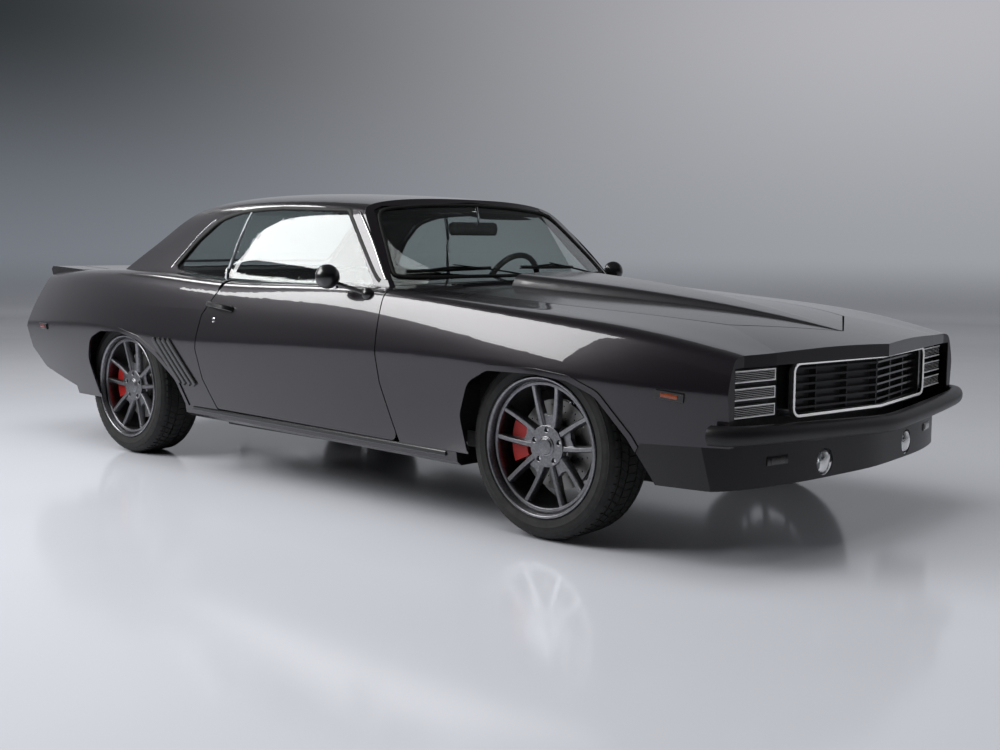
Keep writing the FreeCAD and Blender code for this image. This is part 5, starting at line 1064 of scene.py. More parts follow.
# The slanted channel between door glass and quarter glass
side_glass_skin = skin_of("door_glass_right", "quarter_windows", "roof")
channel, channel_ways = [], []
for k in range(9):
    t = k / 8
    s, h = -0.75 + 0.029 * t, 0.706 + 0.218 * t
    near = Vector((station(s), -0.8 + 0.16 * t, h * HEIGHT))
    at, way, index, distance = side_glass_skin.find_nearest(near)
    channel.append(at + way * 0.0015)
    channel_ways.append(way)
both("quarter_glass_channel", carry(channel, channel_ways, flat_section(0.017, 0.004, 0.004),
    scale=[1.25 - 0.06 * k for k in range(9)]), satin_channel, "shell", "bumper_paint", sharp=60.0)

# Wipers, parked at the foot of the windscreen
glass_skin = skin_of("windscreen")


def on_glass(y, z, lift):
    at, way = on_skin(glass_skin, (2.0, y, z), (-1, 0, 0))
    return at + way * lift


def cowl_at(x, y, lift):
    at, way = on_skin(cowl_skin, (x, y, 1.4), (0, 0, -1))
    return at + way * lift


cowl_skin = skin_of("cowl", "hood", "windscreen")
for tag, pivot_x, pivot_y, tip_y, tip_z, blade_from, blade_to, z_from, z_to in (
        ("_right", 0.67, -0.06, -0.415, 0.952, -0.635, -0.215, 0.936, 0.948),
        ("_left", 0.61, 0.5, 0.17, 0.956, -0.03, 0.365, 0.95, 0.946)):
    foot = cowl_at(pivot_x, pivot_y, 0.0)
    parts = [lathe(foot - Vector((0, 0, 0.004)), (0, 0, 1), [(0.0, 0.015), (0.012, 0.0145), (0.016, 0.011),
        (0.026, 0.01), (0.029, 0.008), (0.03, 0.0002)], 24)]
    tip = on_glass(tip_y, tip_z, 0.027)
    arm = smooth_line([foot + Vector((0, 0, 0.02)), foot.lerp(tip, 0.25) + Vector((0, 0, 0.02)),
        foot.lerp(tip, 0.6) + Vector((0, 0, 0.012)), tip], 5)
    parts.append(carry(arm, (0, 0, 1), [(-0.0085, -0.003), (0.0085, -0.003), (0.0075, 0.004),
        (-0.0075, 0.004)], scale=[1.15 - 0.55 * k / (len(arm) - 1) for k in range(len(arm))]))
    blade, ways = [], []
    for k in range(13):
        t = k / 12
        y, z = blade_from + (blade_to - blade_from) * t, z_from + (z_to - z_from) * t
        blade.append(on_glass(y, z, 0.006))
        ways.append((on_glass(y, z, 1.0) - on_glass(y, z, 0.0)).normalized())
    parts.append(carry(blade, ways, [(-0.0012, -0.0055), (0.0012, -0.0055), (0.003, 0.002), (0.007, 0.006),
        (0.004, 0.011), (-0.004, 0.011), (-0.007, 0.006), (-0.003, 0.002)]))
    bridge = [blade[3] + ways[3] * 0.01, blade[6] + ways[6] * 0.022, blade[9] + ways[9] * 0.01]
    parts.append(carry(smooth_line(bridge, 5), ways[6], [(-0.004, -0.0025), (0.004, -0.0025),
        (0.003, 0.0025), (-0.003, 0.0025)]))
    mesh_piece("wiper" + tag, *joined(parts), wiper_black, "shell", "ribbed_trim", sharp=50.0, bevel=0.0006)

# Air inlet of the cowl: slim dark bars laid on the cowl
bars = []
for k in range(6):
    line = []
    for j in range(15):
        y = -0.5 + 1.0 * j / 14
        x = 0.733 - 0.012 * k - 0.08 * (y / 0.62) ** 2
        line.append(cowl_at(x, y, 0.0005))
    bars.append(carry(line, (0, 0, 1), [(-0.0028, -0.002), (0.0028, -0.002), (0.0022, 0.003),
        (-0.0022, 0.003)]))
for j in range(9):
    y = -0.48 + 0.96 * j / 8
    x = 0.733 - 0.08 * (y / 0.62) ** 2
    bars.append(carry([cowl_at(x, y, 0.0), cowl_at(x - 0.03, y, 0.0), cowl_at(x - 0.06, y, 0.0)], (0, 0, 1),
        [(-0.002, -0.001), (0.002, -0.001), (0.0016, 0.002), (-0.0016, 0.002)]))
mesh_piece("cowl_inlet", *joined(bars), black_enamel, "shell", "bumper_paint", sharp=50.0)

# Door mirrors: silvered glass in the round head, a bright joint where the stem meets it
mirror_at = Vector((station(-0.3905), -1.0021 * HALF_WIDTH, 0.7124 * HEIGHT))
both("mirror_glass", lathe(mirror_at + Vector((-0.0216, 0, 0)), (-1, 0, 0),
    [(0.0, 0.0446), (0.0012, 0.0446), (0.0016, 0.044), (0.0008, 0.0425), (0.0012, 0.03), (0.0014, 0.0002)],
    56), silvered_glass, "door_right", "mirror_housing")
joint = mirror_at + Vector((0.006, 0.03, -0.036))
both("mirror_joint", lathe(joint, (mirror_at + Vector((0.166, 0.0724, -0.068)) - joint),
    [(-0.004, 0.0125), (0.0, 0.0135), (0.01, 0.0135), (0.014, 0.0118), (0.016, 0.01)], 28), chrome_plate,
    "door_right", "mirror_housing")

# Inside mirror on its stalk
plate = [(-0.118, -0.02), (-0.11, -0.03), (0.11, -0.03), (0.118, -0.02), (0.122, 0.0), (0.118, 0.022),
    (0.105, 0.029), (-0.105, 0.029), (-0.118, 0.022), (-0.122, 0.0)]
MIRROR = Vector((0.255, 0.0, 1.124))
tilt_back, tilt_side = Vector((-0.921, 0.36, -0.15)).normalized(), Vector((0.36, 0.921, 0.0)).normalized()
tilt_up = tilt_side.cross(tilt_back)
rings = []
for depth, size in ((0.0, 0.94), (-0.004, 1.0), (-0.016, 1.0), (-0.026, 0.88), (-0.03, 0.6)):
    rings.append([MIRROR + tilt_back * depth + tilt_side * a * size + tilt_up * b * size for a, b in plate])
points = [p for ring in rings for p in ring]
count = len(plate)
faces = [(r * count + k, r * count + (k + 1) % count, (r + 1) * count + (k + 1) % count,
    (r + 1) * count + k) for r in range(4) for k in range(count)]
faces += [tuple(reversed(range(count))), tuple(4 * count + k for k in range(count))]
mesh_piece("inside_mirror", points, faces, dash_vinyl, "shell", "interior_plastic", sharp=40.0, bevel=0.001)
stalk = smooth_line([MIRROR + Vector((0.02, 0, 0.01)), MIRROR + Vector((0.038, 0, 0.04)),
    MIRROR + Vector((0.026, 0, 0.102))], 6)
mesh_piece("inside_mirror_stalk", *carry(stalk, (1, 0, 0), round_section(0.0055, 12)), chrome_plate,
    "shell", "bumper_paint", sharp=60.0)


# Linings laid over the inside of the shell

def lining(skin, origin, direction, span_u, span_v, lift, relief=None, limit=None):
    """A sheet over a skin, from rays off a grid of two spans; it leaves out cells that miss or jump."""
    jump = 0.16
    across, upward = Vector(span_u[0]), Vector(span_v[0])
    grid = {}
    for i in range(span_u[3] + 1):
        for j in range(span_v[3] + 1):
            u = span_u[1] + (span_u[2] - span_u[1]) * i / span_u[3]
            v = span_v[1] + (span_v[2] - span_v[1]) * j / span_v[3]
            start = Vector(origin) + across * u + upward * v
            at, normal, index, distance = skin.ray_cast(start, Vector(direction))
            if at is None or (limit and distance > limit):
                continue
            more = relief(u, v) if relief else 0.0
            grid[(i, j)] = at - Vector(direction) * (lift + more)
    number = {key: k for k, key in enumerate(grid)}
    points = list(grid.values())
    faces = []
    for i, j in grid:
        ring = [(i, j), (i + 1, j), (i + 1, j + 1), (i, j + 1)]
        if not all(key in grid for key in ring):
            continue
        depth = [grid[key].dot(Vector(direction)) for key in ring]
        if max(depth) - min(depth) > jump:
            continue
        faces.append(tuple(number[key] for key in ring))
    return points, faces


def sheet_piece(name, form, finish, body, slot, thickness, sharp=55.0):
    made = mesh_piece(name, *form, finish, body, slot, sharp=sharp)
    solid = made.modifiers.new("thickness", "SOLIDIFY")
    solid.thickness = thickness
    solid.offset = 0.0


floor_skin = skin_of("floor_pan")
carpet = lining(floor_skin, (0, 0, 0.9), (0, 0, -1), ((1, 0, 0), -0.6, 0.69, 64),
    ((0, 1, 0), -0.715, 0.715, 56), 0.006)
sheet_piece("carpet", carpet, floor_carpet, "shell", "interior_plastic", 0.005, 75.0)
boot_mat = lining(floor_skin, (0, 0, 0.9), (0, 0, -1), ((1, 0, 0), -2.19, -1.3, 44),
    ((0, 1, 0), -0.82, 0.82, 60), 0.005)
sheet_piece("boot_mat", boot_mat, floor_carpet, "shell", "interior_plastic", 0.004, 75.0)


def bows(u, v):
    """The headliner hangs a little lower over its bows, 0.36 m apart."""
    return 0.0025 * max(0.0, math.cos(math.pi * u / 0.18)) ** 8


roof_lining = lining(roof_skin, (0, 0, 1.0), (0, 0, 1), ((1, 0, 0), -0.88, 0.2, 40),
    ((0, 1, 0), -0.56, 0.56, 30), 0.006, bows, 0.3)
sheet_piece("headliner", roof_lining, headliner_cloth, "shell", "interior_plastic", 0.003)


def card_relief(u, v):
    """Sewn pleats in the upper field and a moulded frame round it."""
    inside = 1.0 if -0.36 < u < 0.44 and 0.5 < v < 0.78 else 0.0
    pleat = 0.004 * abs(math.sin(math.pi * v / 0.035)) * inside
    return pleat + (0.0 if inside else 0.003)


door_inner = skin_of("door_right")
card = lining(door_inner, (0, -0.4, 0), (0, -1, 0), ((1, 0, 0), station(-0.665), station(-0.312), 44),
    ((0, 0, 1), 0.345, 0.868, 52), 0.006, card_relief, 0.6)
sheet_piece("door_card_right", card, dash_vinyl, "door_right", "interior_plastic", 0.004)
sheet_piece("door_card_left", flipped(*card), dash_vinyl, "door_left", "interior_plastic", 0.004)


def inside_door(x, z, lift):
    at, normal, index, distance = door_inner.ray_cast(Vector((x, -0.4, z)), Vector((0, -1, 0)))
    return at + Vector((0, lift, 0))


arm_line = smooth_line([inside_door(-0.3, 0.56, 0.018), inside_door(-0.18, 0.6, 0.034),
    inside_door(0.02, 0.61, 0.036), inside_door(0.15, 0.6, 0.03), inside_door(0.23, 0.585, 0.014)], 5)
arm_section = [(-0.026, -0.02), (0.026, -0.02), (0.03, 0.006), (0.022, 0.024), (0.0, 0.03), (-0.022, 0.024),
    (-0.03, 0.006)]
both("door_arm_rest", carry(arm_line, (0, 1, 0), arm_section), black_leather, "door_right",
    "interior_plastic", sharp=60.0, bevel=0.002)
pull = [inside_door(0.3, 0.7, 0.012), inside_door(0.33, 0.7, 0.03), inside_door(0.395, 0.705, 0.03),
    inside_door(0.42, 0.705, 0.01)]
both("door_inner_handle", carry(smooth_line(pull, 5), (0, 1, 0),
    [(-0.007, -0.003), (0.007, -0.003), (0.006, 0.003), (-0.006, 0.003)]), chrome_plate, "door_right",
    "bumper_paint", sharp=50.0)
winder_at = inside_door(0.18, 0.52, 0.006)
knob_at = winder_at + Vector((-0.1, 0.03, -0.058))
crank = [winder_at + Vector((0, 0.02, 0)), winder_at + Vector((-0.05, 0.028, -0.03)), knob_at]
crank_section = [(-0.007, -0.003), (0.007, -0.003), (0.006, 0.004), (-0.006, 0.004)]
winder_hub = [(0.0, 0.024), (0.01, 0.023), (0.014, 0.014), (0.022, 0.012), (0.023, 0.0002)]
knob = [(0.0, 0.01), (0.02, 0.013), (0.03, 0.012), (0.034, 0.007), (0.035, 0.0002)]
winder = [lathe(winder_at, (0, 1, 0), winder_hub, 28), carry(crank, (0, 1, 0), crank_section),
    lathe(knob_at, (0, 1, 0), knob, 20)]
both("window_winder", joined(winder), chrome_plate, "door_right", "bumper_paint", sharp=45.0)

# Rear side trim
side_inner = skin_of("quarter_right", "floor_pan")
rear_card = lining(side_inner, (0, -0.3, 0), (0, -1, 0), ((1, 0, 0), -1.03, -0.52, 40),
    ((0, 0, 1), 0.38, 0.85, 40), 0.006, limit=0.58)
both("rear_side_trim", rear_card, dash_vinyl, "shell", "interior_plastic", sharp=55.0)

# Dashboard: padded hood, dials with plain ticks, vents, a blank radio and a glove box door
WHEEL_Y = 0.372
dash_face = (-0.96, 0.0, 0.28)
for tag, y, radius in (("_left", WHEEL_Y + 0.09, 0.056), ("_right", WHEEL_Y - 0.09, 0.056),
        ("_middle", 0.0, 0.03)):
    at = Vector((0.32 if y else 0.3245, y, 0.828))
    mesh_piece("dial_rim" + tag, *lathe(at, dash_face, [(-0.012, radius), (0.01, radius),
        (0.013, radius - 0.002), (0.01, radius - 0.006), (-0.004, radius - 0.008)], 48), satin_channel,
        "shell", "interior_plastic")
    mesh_piece("dial_face" + tag, *lathe(at, dash_face, [(-0.003, radius - 0.007), (-0.002, radius * 0.55),
        (-0.002, 0.0002)], 48), dash_vinyl, "shell", "interior_plastic")
    face_way = Vector(dash_face).normalized()
    up_face = (Vector((0, 0, 1)) - face_way * face_way.z).normalized()
    side_face = face_way.cross(up_face)
    ticks = []
    for k in range(11):
        turn = math.radians(-130 + 26 * k)
        way = up_face * math.cos(turn) + side_face * math.sin(turn)
        ticks.append(carry([at + way * radius * 0.66, at + way * radius * 0.74, at + way * radius * 0.82],
            face_way, [(-0.0007, -0.0015), (0.0007, -0.0015), (0.0007, 0.0), (-0.0007, 0.0)]))
    way = up_face * math.cos(-2.0) + side_face * math.sin(-2.0)
    ticks.append(carry([at - way * radius * 0.12 + face_way * 0.002,
        at + way * radius * 0.3 + face_way * 0.002, at + way * radius * 0.7 + face_way * 0.002], face_way,
        [(-0.0014, -0.001), (0.0014, -0.001), (0.001, 0.001), (-0.001, 0.001)]))
    mesh_piece("dial_ticks" + tag, *joined(ticks), pale_print, "shell", "interior_plastic", sharp=60.0)
hood_line = smooth_line([(0.33, WHEEL_Y + 0.19, 0.8), (0.315, WHEEL_Y + 0.178, 0.868),
    (0.312, WHEEL_Y + 0.09, 0.896), (0.312, WHEEL_Y - 0.09, 0.896), (0.315, WHEEL_Y - 0.178, 0.868),
    (0.33, WHEEL_Y - 0.19, 0.8)], 6)
hood_ways = []
for index, at in enumerate(hood_line):
    hood_ways.append(Vector((0, at.y - WHEEL_Y, 0.5 * (at.z - 0.8))).normalized())
mesh_piece("dial_hood", *carry(hood_line, hood_ways, [(-0.036, -0.006), (0.04, -0.006), (0.04, 0.004),
    (0.0, 0.011), (-0.036, 0.006)]), dash_vinyl, "shell", "interior_plastic", sharp=50.0, bevel=0.003)
pad_line = smooth_line([(0.347, -0.672, 0.868), (0.337, -0.4, 0.875), (0.334, 0.0, 0.878),
    (0.337, 0.16, 0.876)], 6)
mesh_piece("dash_pad", *carry(pad_line, (0, 0, 1), round_section(0.015, 14)), black_leather, "shell",
    "interior_plastic", sharp=80.0)
dash_tilt = [(0.36, 0, -0.93), (-0.93, 0, -0.36)]
glove_box = posed(block((-0.19, -0.072, -0.006), (0.19, 0.072, 0.006)), (0.344, -0.43, 0.734), *dash_tilt)
radio = posed(block((-0.105, -0.03, -0.006), (0.105, 0.03, 0.008)), (0.342, 0.0, 0.738), *dash_tilt)
mesh_piece("glove_box_and_radio", *joined([glove_box, radio]), black_enamel, "shell", "interior_plastic",
    bevel=0.003)
vents = []
for y in (-0.61, 0.61, -0.14, 0.14):
    for k in range(5):
        z = 0.816 + 0.008 * k
        vents.append(block((0.317, y - 0.038, z - 0.0016), (0.329, y + 0.038, z + 0.0016)))
    vents.append(block((0.318, y - 0.044, 0.806), (0.33, y - 0.04, 0.858)))
    vents.append(block((0.318, y + 0.04, 0.806), (0.33, y + 0.044, 0.858)))
mesh_piece("dash_vents", *joined(vents), black_enamel, "shell", "interior_plastic", bevel=0.0008)

# Console with gear lever
console_low = [(0.38, 0.0, 0.4), (0.3, 0.0, 0.44), (0.1, 0.0, 0.43), (-0.1, 0.0, 0.428), (-0.3, 0.0, 0.45),
    (-0.48, 0.0, 0.455)]
console_section = [(-0.1, -0.08), (0.1, -0.08), (0.092, -0.01), (0.076, 0.0), (-0.076, 0.0),
    (-0.092, -0.01)]
mesh_piece("console", *carry(smooth_line(console_low, 5), (0, 0, 1), console_section), dash_vinyl, "shell",
    "interior_plastic", sharp=50.0, bevel=0.004)
rest = cushion((0.15, 0.23, 0.06), 0.006, 0.02, 20)
rest_form = posed(rest, (-0.36, 0.0, 0.475), (1, 0, 0), (0, 0, 1))
rest_piece = mesh_piece("console_arm_rest", *rest_form, black_leather, "shell", "seat_leather", sharp=70.0)
lever_at = Vector((0.06, 0.0, 0.428))
mesh_piece("gear_boot", *lathe(lever_at, (-0.08, 0, 1), [(0.0, 0.06), (0.012, 0.056), (0.02, 0.044),
    (0.032, 0.04), (0.04, 0.028), (0.056, 0.024), (0.066, 0.014), (0.072, 0.009)], 28), black_leather,
    "shell", "interior_plastic", sharp=70.0)
mesh_piece("gear_lever", *lathe(lever_at, (-0.08, 0, 1), [(0.06, 0.0075), (0.15, 0.0065), (0.172, 0.0065),
    (0.174, 0.01), (0.18, 0.016), (0.194, 0.0225), (0.208, 0.024), (0.222, 0.02), (0.23, 0.011),
    (0.232, 0.0002)], 28), chrome_plate, "shell", "bumper_paint", sharp=60.0)

# Pedals
pedals = []
for y, wide, x in ((0.47, 0.03, 0.56), (0.39, 0.036, 0.545), (0.29, 0.024, 0.57)):
    pedals.append(posed(block((-wide, -0.036, -0.004), (wide, 0.036, 0.004)), (x, y, 0.37), (0.35, 0, 0.94),
        (-0.94, 0, 0.35)))
    pedals.append(carry([Vector((x + 0.006, y, 0.372)), Vector((x + 0.06, y, 0.45)),
        Vector((x + 0.085, y, 0.56))], (-1, 0, 0), [(-0.006, -0.003), (0.006, -0.003), (0.006, 0.003),
        (-0.006, 0.003)]))
mesh_piece("pedals", *joined(pedals), seal_rubber, "shell", "interior_plastic", bevel=0.001)

# Steering wheel: a boss, and stitches round the inside of the rim
column_way = Vector((-0.93, 0, 0.36)).normalized()
hub_at = Vector((station(-0.462), WHEEL_Y, 0.6399 * HEIGHT))
across_wheel = Vector((0, 1, 0))
up_wheel = column_way.cross(across_wheel).normalized()
WHEEL_RADIUS, RIM_THICKNESS, STITCHES = 0.185, 0.0144, 96
stitches = []
for k in range(STITCHES):
    turn = 2 * math.pi * k / STITCHES
    out = across_wheel * math.cos(turn) + up_wheel * math.sin(turn)
    round_way = up_wheel * math.cos(turn) - across_wheel * math.sin(turn)
    middle = hub_at + out * WHEEL_RADIUS
    arc = []
    for step in (-1, 0, 1):
        lean = math.radians(150 + 16 * step)
        outward = out * math.cos(lean) * RIM_THICKNESS
        behind = column_way * math.sin(lean) * RIM_THICKNESS
        arc.append(middle + outward + behind + round_way * 0.0012 * step)
    stitches.append(carry(arc, out, [(-0.0006, -0.0006), (0.0006, -0.0006), (0.0006, 0.0006),
        (-0.0006, 0.0006)]))
mesh_piece("steering_stitches", *joined(stitches), pale_print, "shell", "interior_plastic", sharp=80.0)
mesh_piece("steering_boss", *lathe(hub_at, column_way, [(-0.03, 0.04), (0.004, 0.044), (0.01, 0.041),
    (0.013, 0.03), (0.01, 0.026), (0.011, 0.0002)], 40), satin_channel, "shell", "interior_plastic")

# Sun visors
visors = []
for side in (-1, 1):
    form = cushion((0.36, 0.13, 0.016), 0.002, 0.01, 16)
    visors.append(posed(form, (0.13, side * 0.3, 1.188), (0.985, 0, -0.17), (0.17, 0, 0.985)))
mesh_piece("sun_visors", *joined(visors), headliner_cloth, "shell", "interior_plastic", sharp=70.0)

# Tail: frames round the lamps, the lock, and rolled exhaust tips
tail_skin = skin_of("tail_panel", "quarter_right", "quarter_left")
for index in range(3):
    low_y, high_y = 0.3 + 0.11195 * index - 0.004, 0.3 + 0.11195 * index + 0.108
    corners = [(low_y, 0.636), (high_y, 0.636), (high_y, 0.764), (low_y, 0.764)]
    ring, ways = [], []
    for k in range(4):
        (y0, z0), (y1, z1) = corners[k], corners[(k + 1) % 4]
        for step in range(6):
            t = step / 6 + 0.04
            at, way = on_skin(tail_skin, (-3.0, -(y0 + (y1 - y0) * t), z0 + (z1 - z0) * t), (1, 0, 0))
            ring.append(at)
            ways.append(way)
    both("tail_lamp_frame_%d" % index, carry(ring, ways, flat_section(0.0065, 0.009, 0.002), closed=True),
        black_enamel, "shell", "bumper_paint", sharp=60.0, bevel=0.0008)
lock, lock_out = on_skin(tail_skin, (-3.0, 0.0, 0.81), (1, 0, 0))
mesh_piece("trunk_lock", *lathe(lock - lock_out * 0.002, lock_out,
    [(0.0, 0.017), (0.005, 0.0165), (0.0075, 0.013), (0.006, 0.01), (0.006, 0.0002)], 32), chrome_plate,
    "shell", "bumper_paint")
tip_way = Vector((-0.9052, -0.23, 0.0749)).normalized()
tip_at = Vector((station(-1.31), -0.42, 0.2517))
both("exhaust_tip", lathe(tip_at, tip_way, [(-0.125, 0.0362), (-0.122, 0.0372), (-0.002, 0.0374),
    (0.001, 0.037), (0.002, 0.0352), (0.0008, 0.0338)], 48), chrome_plate, "shell", "pipe_steel")
# The bore is a near-black disc just inside each tip: painted shade where the pipe's hollow lies in shadow,
# and its soot
both("exhaust_bore", lathe(tip_at, tip_way, [(0.0008, 0.0342), (0.0006, 0.02), (0.0006, 0.0002)], 32),
    exhaust_soot, "shell", "pipe_steel")

# Engine dressed over its plain block
engine_parts = []
for side in (-1, 1):
    engine_parts.append(block((0.93, min(side * 0.165, side * 0.285), 0.655),
        (1.495, max(side * 0.165, side * 0.285), 0.722)))
    for k in range(7):
        y = side * (0.18 + 0.015 * k)
        engine_parts.append(block((0.96, y - 0.003, 0.72), (1.465, y + 0.003, 0.728)))
mesh_piece("valve_covers", *joined(engine_parts), black_enamel, "shell", "cast_engine", bevel=0.006)
manifold = [block((0.98, -0.12, 0.638), (1.45, 0.12, 0.672)), block((1.12, -0.06, 0.67), (1.31, 0.06, 0.7))]
for side in (-1, 1):
    for k in range(4):
        x = 1.01 + 0.135 * k
        manifold.append(carry([Vector((x, side * 0.05, 0.672)), Vector((x, side * 0.11, 0.68)),
            Vector((x, side * 0.168, 0.662))], (0, 0, 1), round_section(0.022, 12)))
mesh_piece("intake_manifold", *joined(manifold), raw_aluminium, "shell", "cast_engine", bevel=0.004)
mesh_piece("air_filter", *lathe((1.215, 0, 0.7), (0, 0, 1), [(0.0, 0.15), (0.01, 0.165), (0.014, 0.16),
    (0.05, 0.16)], 72), pale_print, "shell", "cast_engine")
mesh_piece("air_cleaner_lid", *lathe((1.215, 0, 0.7), (0, 0, 1),
    [(0.048, 0.162), (0.05, 0.168), (0.058, 0.168), (0.064, 0.15), (0.066, 0.06), (0.07, 0.04),
    (0.07, 0.014), (0.08, 0.01), (0.084, 0.0002)], 72), chrome_plate, "shell", "cast_engine")
leads = []
for side in (-1, 1):
    for k in range(4):
        start = Vector((0.975, side * 0.02, 0.735))
        end = Vector((1.01 + 0.135 * k, side * 0.292, 0.64))
        middle = Vector(((start.x + end.x) / 2 - 0.01, side * 0.15, 0.742 + 0.004 * k))
        leads.append(carry(smooth_line([start, middle, end + Vector((0, side * 0.004, 0.06)), end], 6),
            (1, 0, 0), round_section(0.0042, 8)))
leads.append(lathe((0.975, 0, 0.64), (0, 0, 1), [(0.0, 0.04), (0.06, 0.04), (0.066, 0.046), (0.092, 0.046),
    (0.098, 0.036), (0.1, 0.0002)], 32))
mesh_piece("spark_leads", *joined(leads), seal_rubber, "shell", "cast_engine", sharp=60.0)
pulleys = []
for y, z, radius in ((0.0, 0.56, 0.075), (0.0, 0.35, 0.085), (-0.185, 0.6, 0.036), (0.19, 0.5, 0.062)):
    pulleys.append(lathe((1.586, y, z), (1, 0, 0), [(0.0, 0.03), (0.008, 0.03), (0.01, radius),
        (0.016, radius), (0.02, radius - 0.01), (0.024, radius), (0.03, radius), (0.032, radius * 0.5),
        (0.031, 0.0002)], 40))
mesh_piece("belt_pulleys", *joined(pulleys), raw_aluminium, "shell", "cast_engine", sharp=40.0)
alternator = lathe((1.48, -0.185, 0.6), (1, 0, 0), [(0.0, 0.0002), (0.001, 0.05), (0.01, 0.058),
    (0.09, 0.058), (0.1, 0.05), (0.104, 0.03)], 40)
mesh_piece("alternator", *alternator, raw_aluminium, "shell", "cast_engine")
radiator = [block((1.955, -0.315, 0.335), (2.015, 0.315, 0.69)),
    block((1.945, -0.33, 0.34), (2.022, -0.3, 0.685)), block((1.945, 0.3, 0.34), (2.022, 0.33, 0.685))]
mesh_piece("radiator", *joined(radiator), raw_aluminium, "shell", "chassis_black", bevel=0.004)
shroud = lathe((1.95, 0, 0.515), (-1, 0, 0), [(0.0, 0.215), (0.02, 0.205), (0.03, 0.19), (0.07, 0.188),
    (0.072, 0.183), (0.03, 0.184), (0.018, 0.198), (0.0, 0.208)], 56)
fan = [shroud]
for k in range(7):
    turn = 2 * math.pi * k / 7
    out = Vector((0, math.cos(turn), math.sin(turn)))
    turn_way = Vector((0, -math.sin(turn), math.cos(turn)))
    hub_point = Vector((1.905, 0, 0.515))
    blade = []
    for r, wide, twist in ((0.04, 0.018, 0.9), (0.1, 0.03, 0.7), (0.172, 0.034, 0.45)):
        edge_way = turn_way * math.cos(twist) + Vector((1, 0, 0)) * math.sin(twist)
        blade += [hub_point + out * r + edge_way * wide, hub_point + out * r - edge_way * wide]
    thick = Vector((0.002, 0, 0))
    points = blade + [p + thick for p in blade]
    fan.append((points, [(0, 1, 3, 2), (2, 3, 5, 4), (6, 8, 9, 7), (8, 10, 11, 9), (0, 2, 8, 6),
        (2, 4, 10, 8), (1, 7, 9, 3), (3, 9, 11, 5), (0, 6, 7, 1), (4, 5, 11, 10)]))
fan.append(lathe((1.89, 0, 0.515), (1, 0, 0), [(0.0, 0.0002), (0.0, 0.04), (0.004, 0.046), (0.034, 0.046),
    (0.06, 0.03)], 36))
mesh_piece("fan_and_shroud", *joined(fan), black_enamel, "shell", "chassis_black", sharp=40.0)
hose = smooth_line([(1.96, -0.2, 0.64), (1.88, -0.2, 0.65), (1.76, -0.12, 0.69), (1.64, -0.02, 0.7),
    (1.56, 0.0, 0.69), (1.5, 0.0, 0.672)], 6)
low_hose = smooth_line([(1.96, 0.24, 0.4), (1.86, 0.24, 0.39), (1.74, 0.2, 0.42), (1.64, 0.13, 0.46),
    (1.57, 0.1, 0.48)], 6)
mesh_piece("coolant_hoses", *joined([carry(hose, (0, 0, 1), round_section(0.019, 16)),
    carry(low_hose, (0, 0, 1), round_section(0.021, 16))]), seal_rubber, "shell", "chassis_black",
    sharp=60.0)
battery = [block((1.69, -0.432, 0.43), (1.88, -0.335, 0.625)),
    block((1.686, -0.436, 0.622), (1.884, -0.331, 0.64))]
for x in (1.73, 1.84):
    battery.append(lathe((x, -0.383, 0.64), (0, 0, 1), [(0.0, 0.012), (0.016, 0.011), (0.018, 0.0002)], 16))
mesh_piece("battery", *joined(battery), dash_vinyl, "shell", "chassis_black", bevel=0.003)
booster = [lathe((0.742, 0.33, 0.69), (1, 0, 0), [(0.0, 0.06), (0.012, 0.105), (0.04, 0.112), (0.05, 0.108),
    (0.08, 0.085), (0.092, 0.04), (0.094, 0.0002)], 48), block((0.83, 0.298, 0.668), (0.985, 0.362, 0.722)),
    block((0.826, 0.294, 0.72), (0.989, 0.366, 0.732))]
mesh_piece("brake_booster", *joined(booster), black_enamel, "shell", "chassis_black", bevel=0.003)
bottle = block((1.56, 0.345, 0.47), (1.74, 0.43, 0.64))
mesh_piece("washer_bottle", *joined([bottle, lathe((1.65, 0.388, 0.64), (0, 0, 1),
    [(0.0, 0.024), (0.014, 0.024), (0.016, 0.02), (0.017, 0.0002)], 24)]), pale_print, "shell",
    "chassis_black", bevel=0.008)


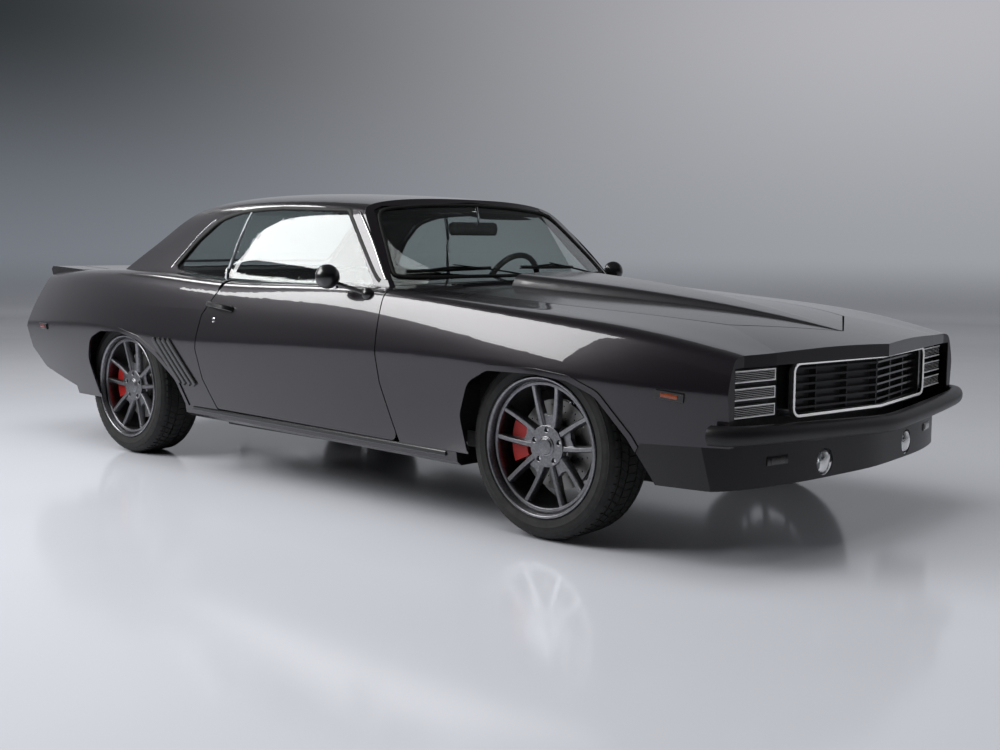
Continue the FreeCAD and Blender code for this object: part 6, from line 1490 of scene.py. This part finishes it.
# Pressed stiffeners under the hood and the deck lid
def ribs_below(name, skin, lines, start_z, finish, body, slot, wide, deep):
    parts = []
    for marks in lines:
        line = []
        for p in smooth_line([(x, y, 0.0) for x, y in marks], 7):
            at, normal, index, distance = skin.ray_cast(Vector((p.x, p.y, start_z)), Vector((0, 0, 1)))
            if at is not None:
                line.append(at - Vector((0, 0, 0.0005)))
        parts.append(carry(line, (0, 0, -1), [(-wide / 2, -0.001), (wide / 2, -0.001), (wide * 0.34, deep),
            (-wide * 0.34, deep)]))
    mesh_piece(name, *joined(parts), finish, body, slot, sharp=40.0, bevel=0.002)


hood_lines = [[(2.09, -0.38), (2.1, 0.0), (2.09, 0.38)], [(0.84, -0.56), (0.86, 0.0), (0.84, 0.56)]]
for side in (-1, 1):
    hood_lines += [[(2.06, side * 0.35), (1.75, side * 0.455), (1.4, side * 0.54), (0.88, side * 0.61)],
        [(2.07, side * 0.06), (1.5, side * 0.2), (0.89, side * 0.42)]]
ribs_below("hood_stiffeners", skin_of("hood"), hood_lines, 0.5, hood_enamel, "hood", "body_paint", 0.05,
    0.012)
lid_lines = [[(-1.68, -0.52), (-1.68, 0.52)], [(-1.96, -0.56), (-1.96, 0.56)]]
for side in (-1, 1):
    lid_lines += [[(-1.67, side * 0.54), (-1.97, side * 0.57)], [(-1.69, side * 0.1), (-1.95, side * 0.3)]]
ribs_below("lid_stiffeners", skin_of("decklid"), lid_lines, 0.7, body_enamel, "decklid", "body_paint",
    0.044, 0.01)

# Dampers at the rear axle, an anti-roll bar ahead of the front axle
dampers = []
for side in (-1, 1):
    foot = Vector((REAR_AXLE - 0.06, side * 0.38, 0.27))
    head = Vector((REAR_AXLE - 0.15, side * 0.33, 0.43))
    far = (head - foot).length
    dampers.append(lathe(foot, head - foot, [(0.0, 0.0002), (0.0, 0.02), (0.006, 0.024),
        (far * 0.62, 0.024), (far * 0.64, 0.012), (far - 0.004, 0.011), (far - 0.003, 0.0002)], 24))
mesh_piece("rear_dampers", *joined(dampers), chassis_paint, "shell", "axle_iron", sharp=40.0)
bar_path = smooth_line([(1.5, -0.44, 0.222), (1.62, -0.43, 0.214), (1.69, -0.36, 0.206),
    (1.705, 0.0, 0.206), (1.69, 0.36, 0.206), (1.62, 0.43, 0.214), (1.5, 0.44, 0.222)], 7)
mesh_piece("anti_roll_bar", *carry(bar_path, (0, 0, 1), round_section(0.011, 12)), chassis_paint, "shell",
    "spring_steel", sharp=60.0)
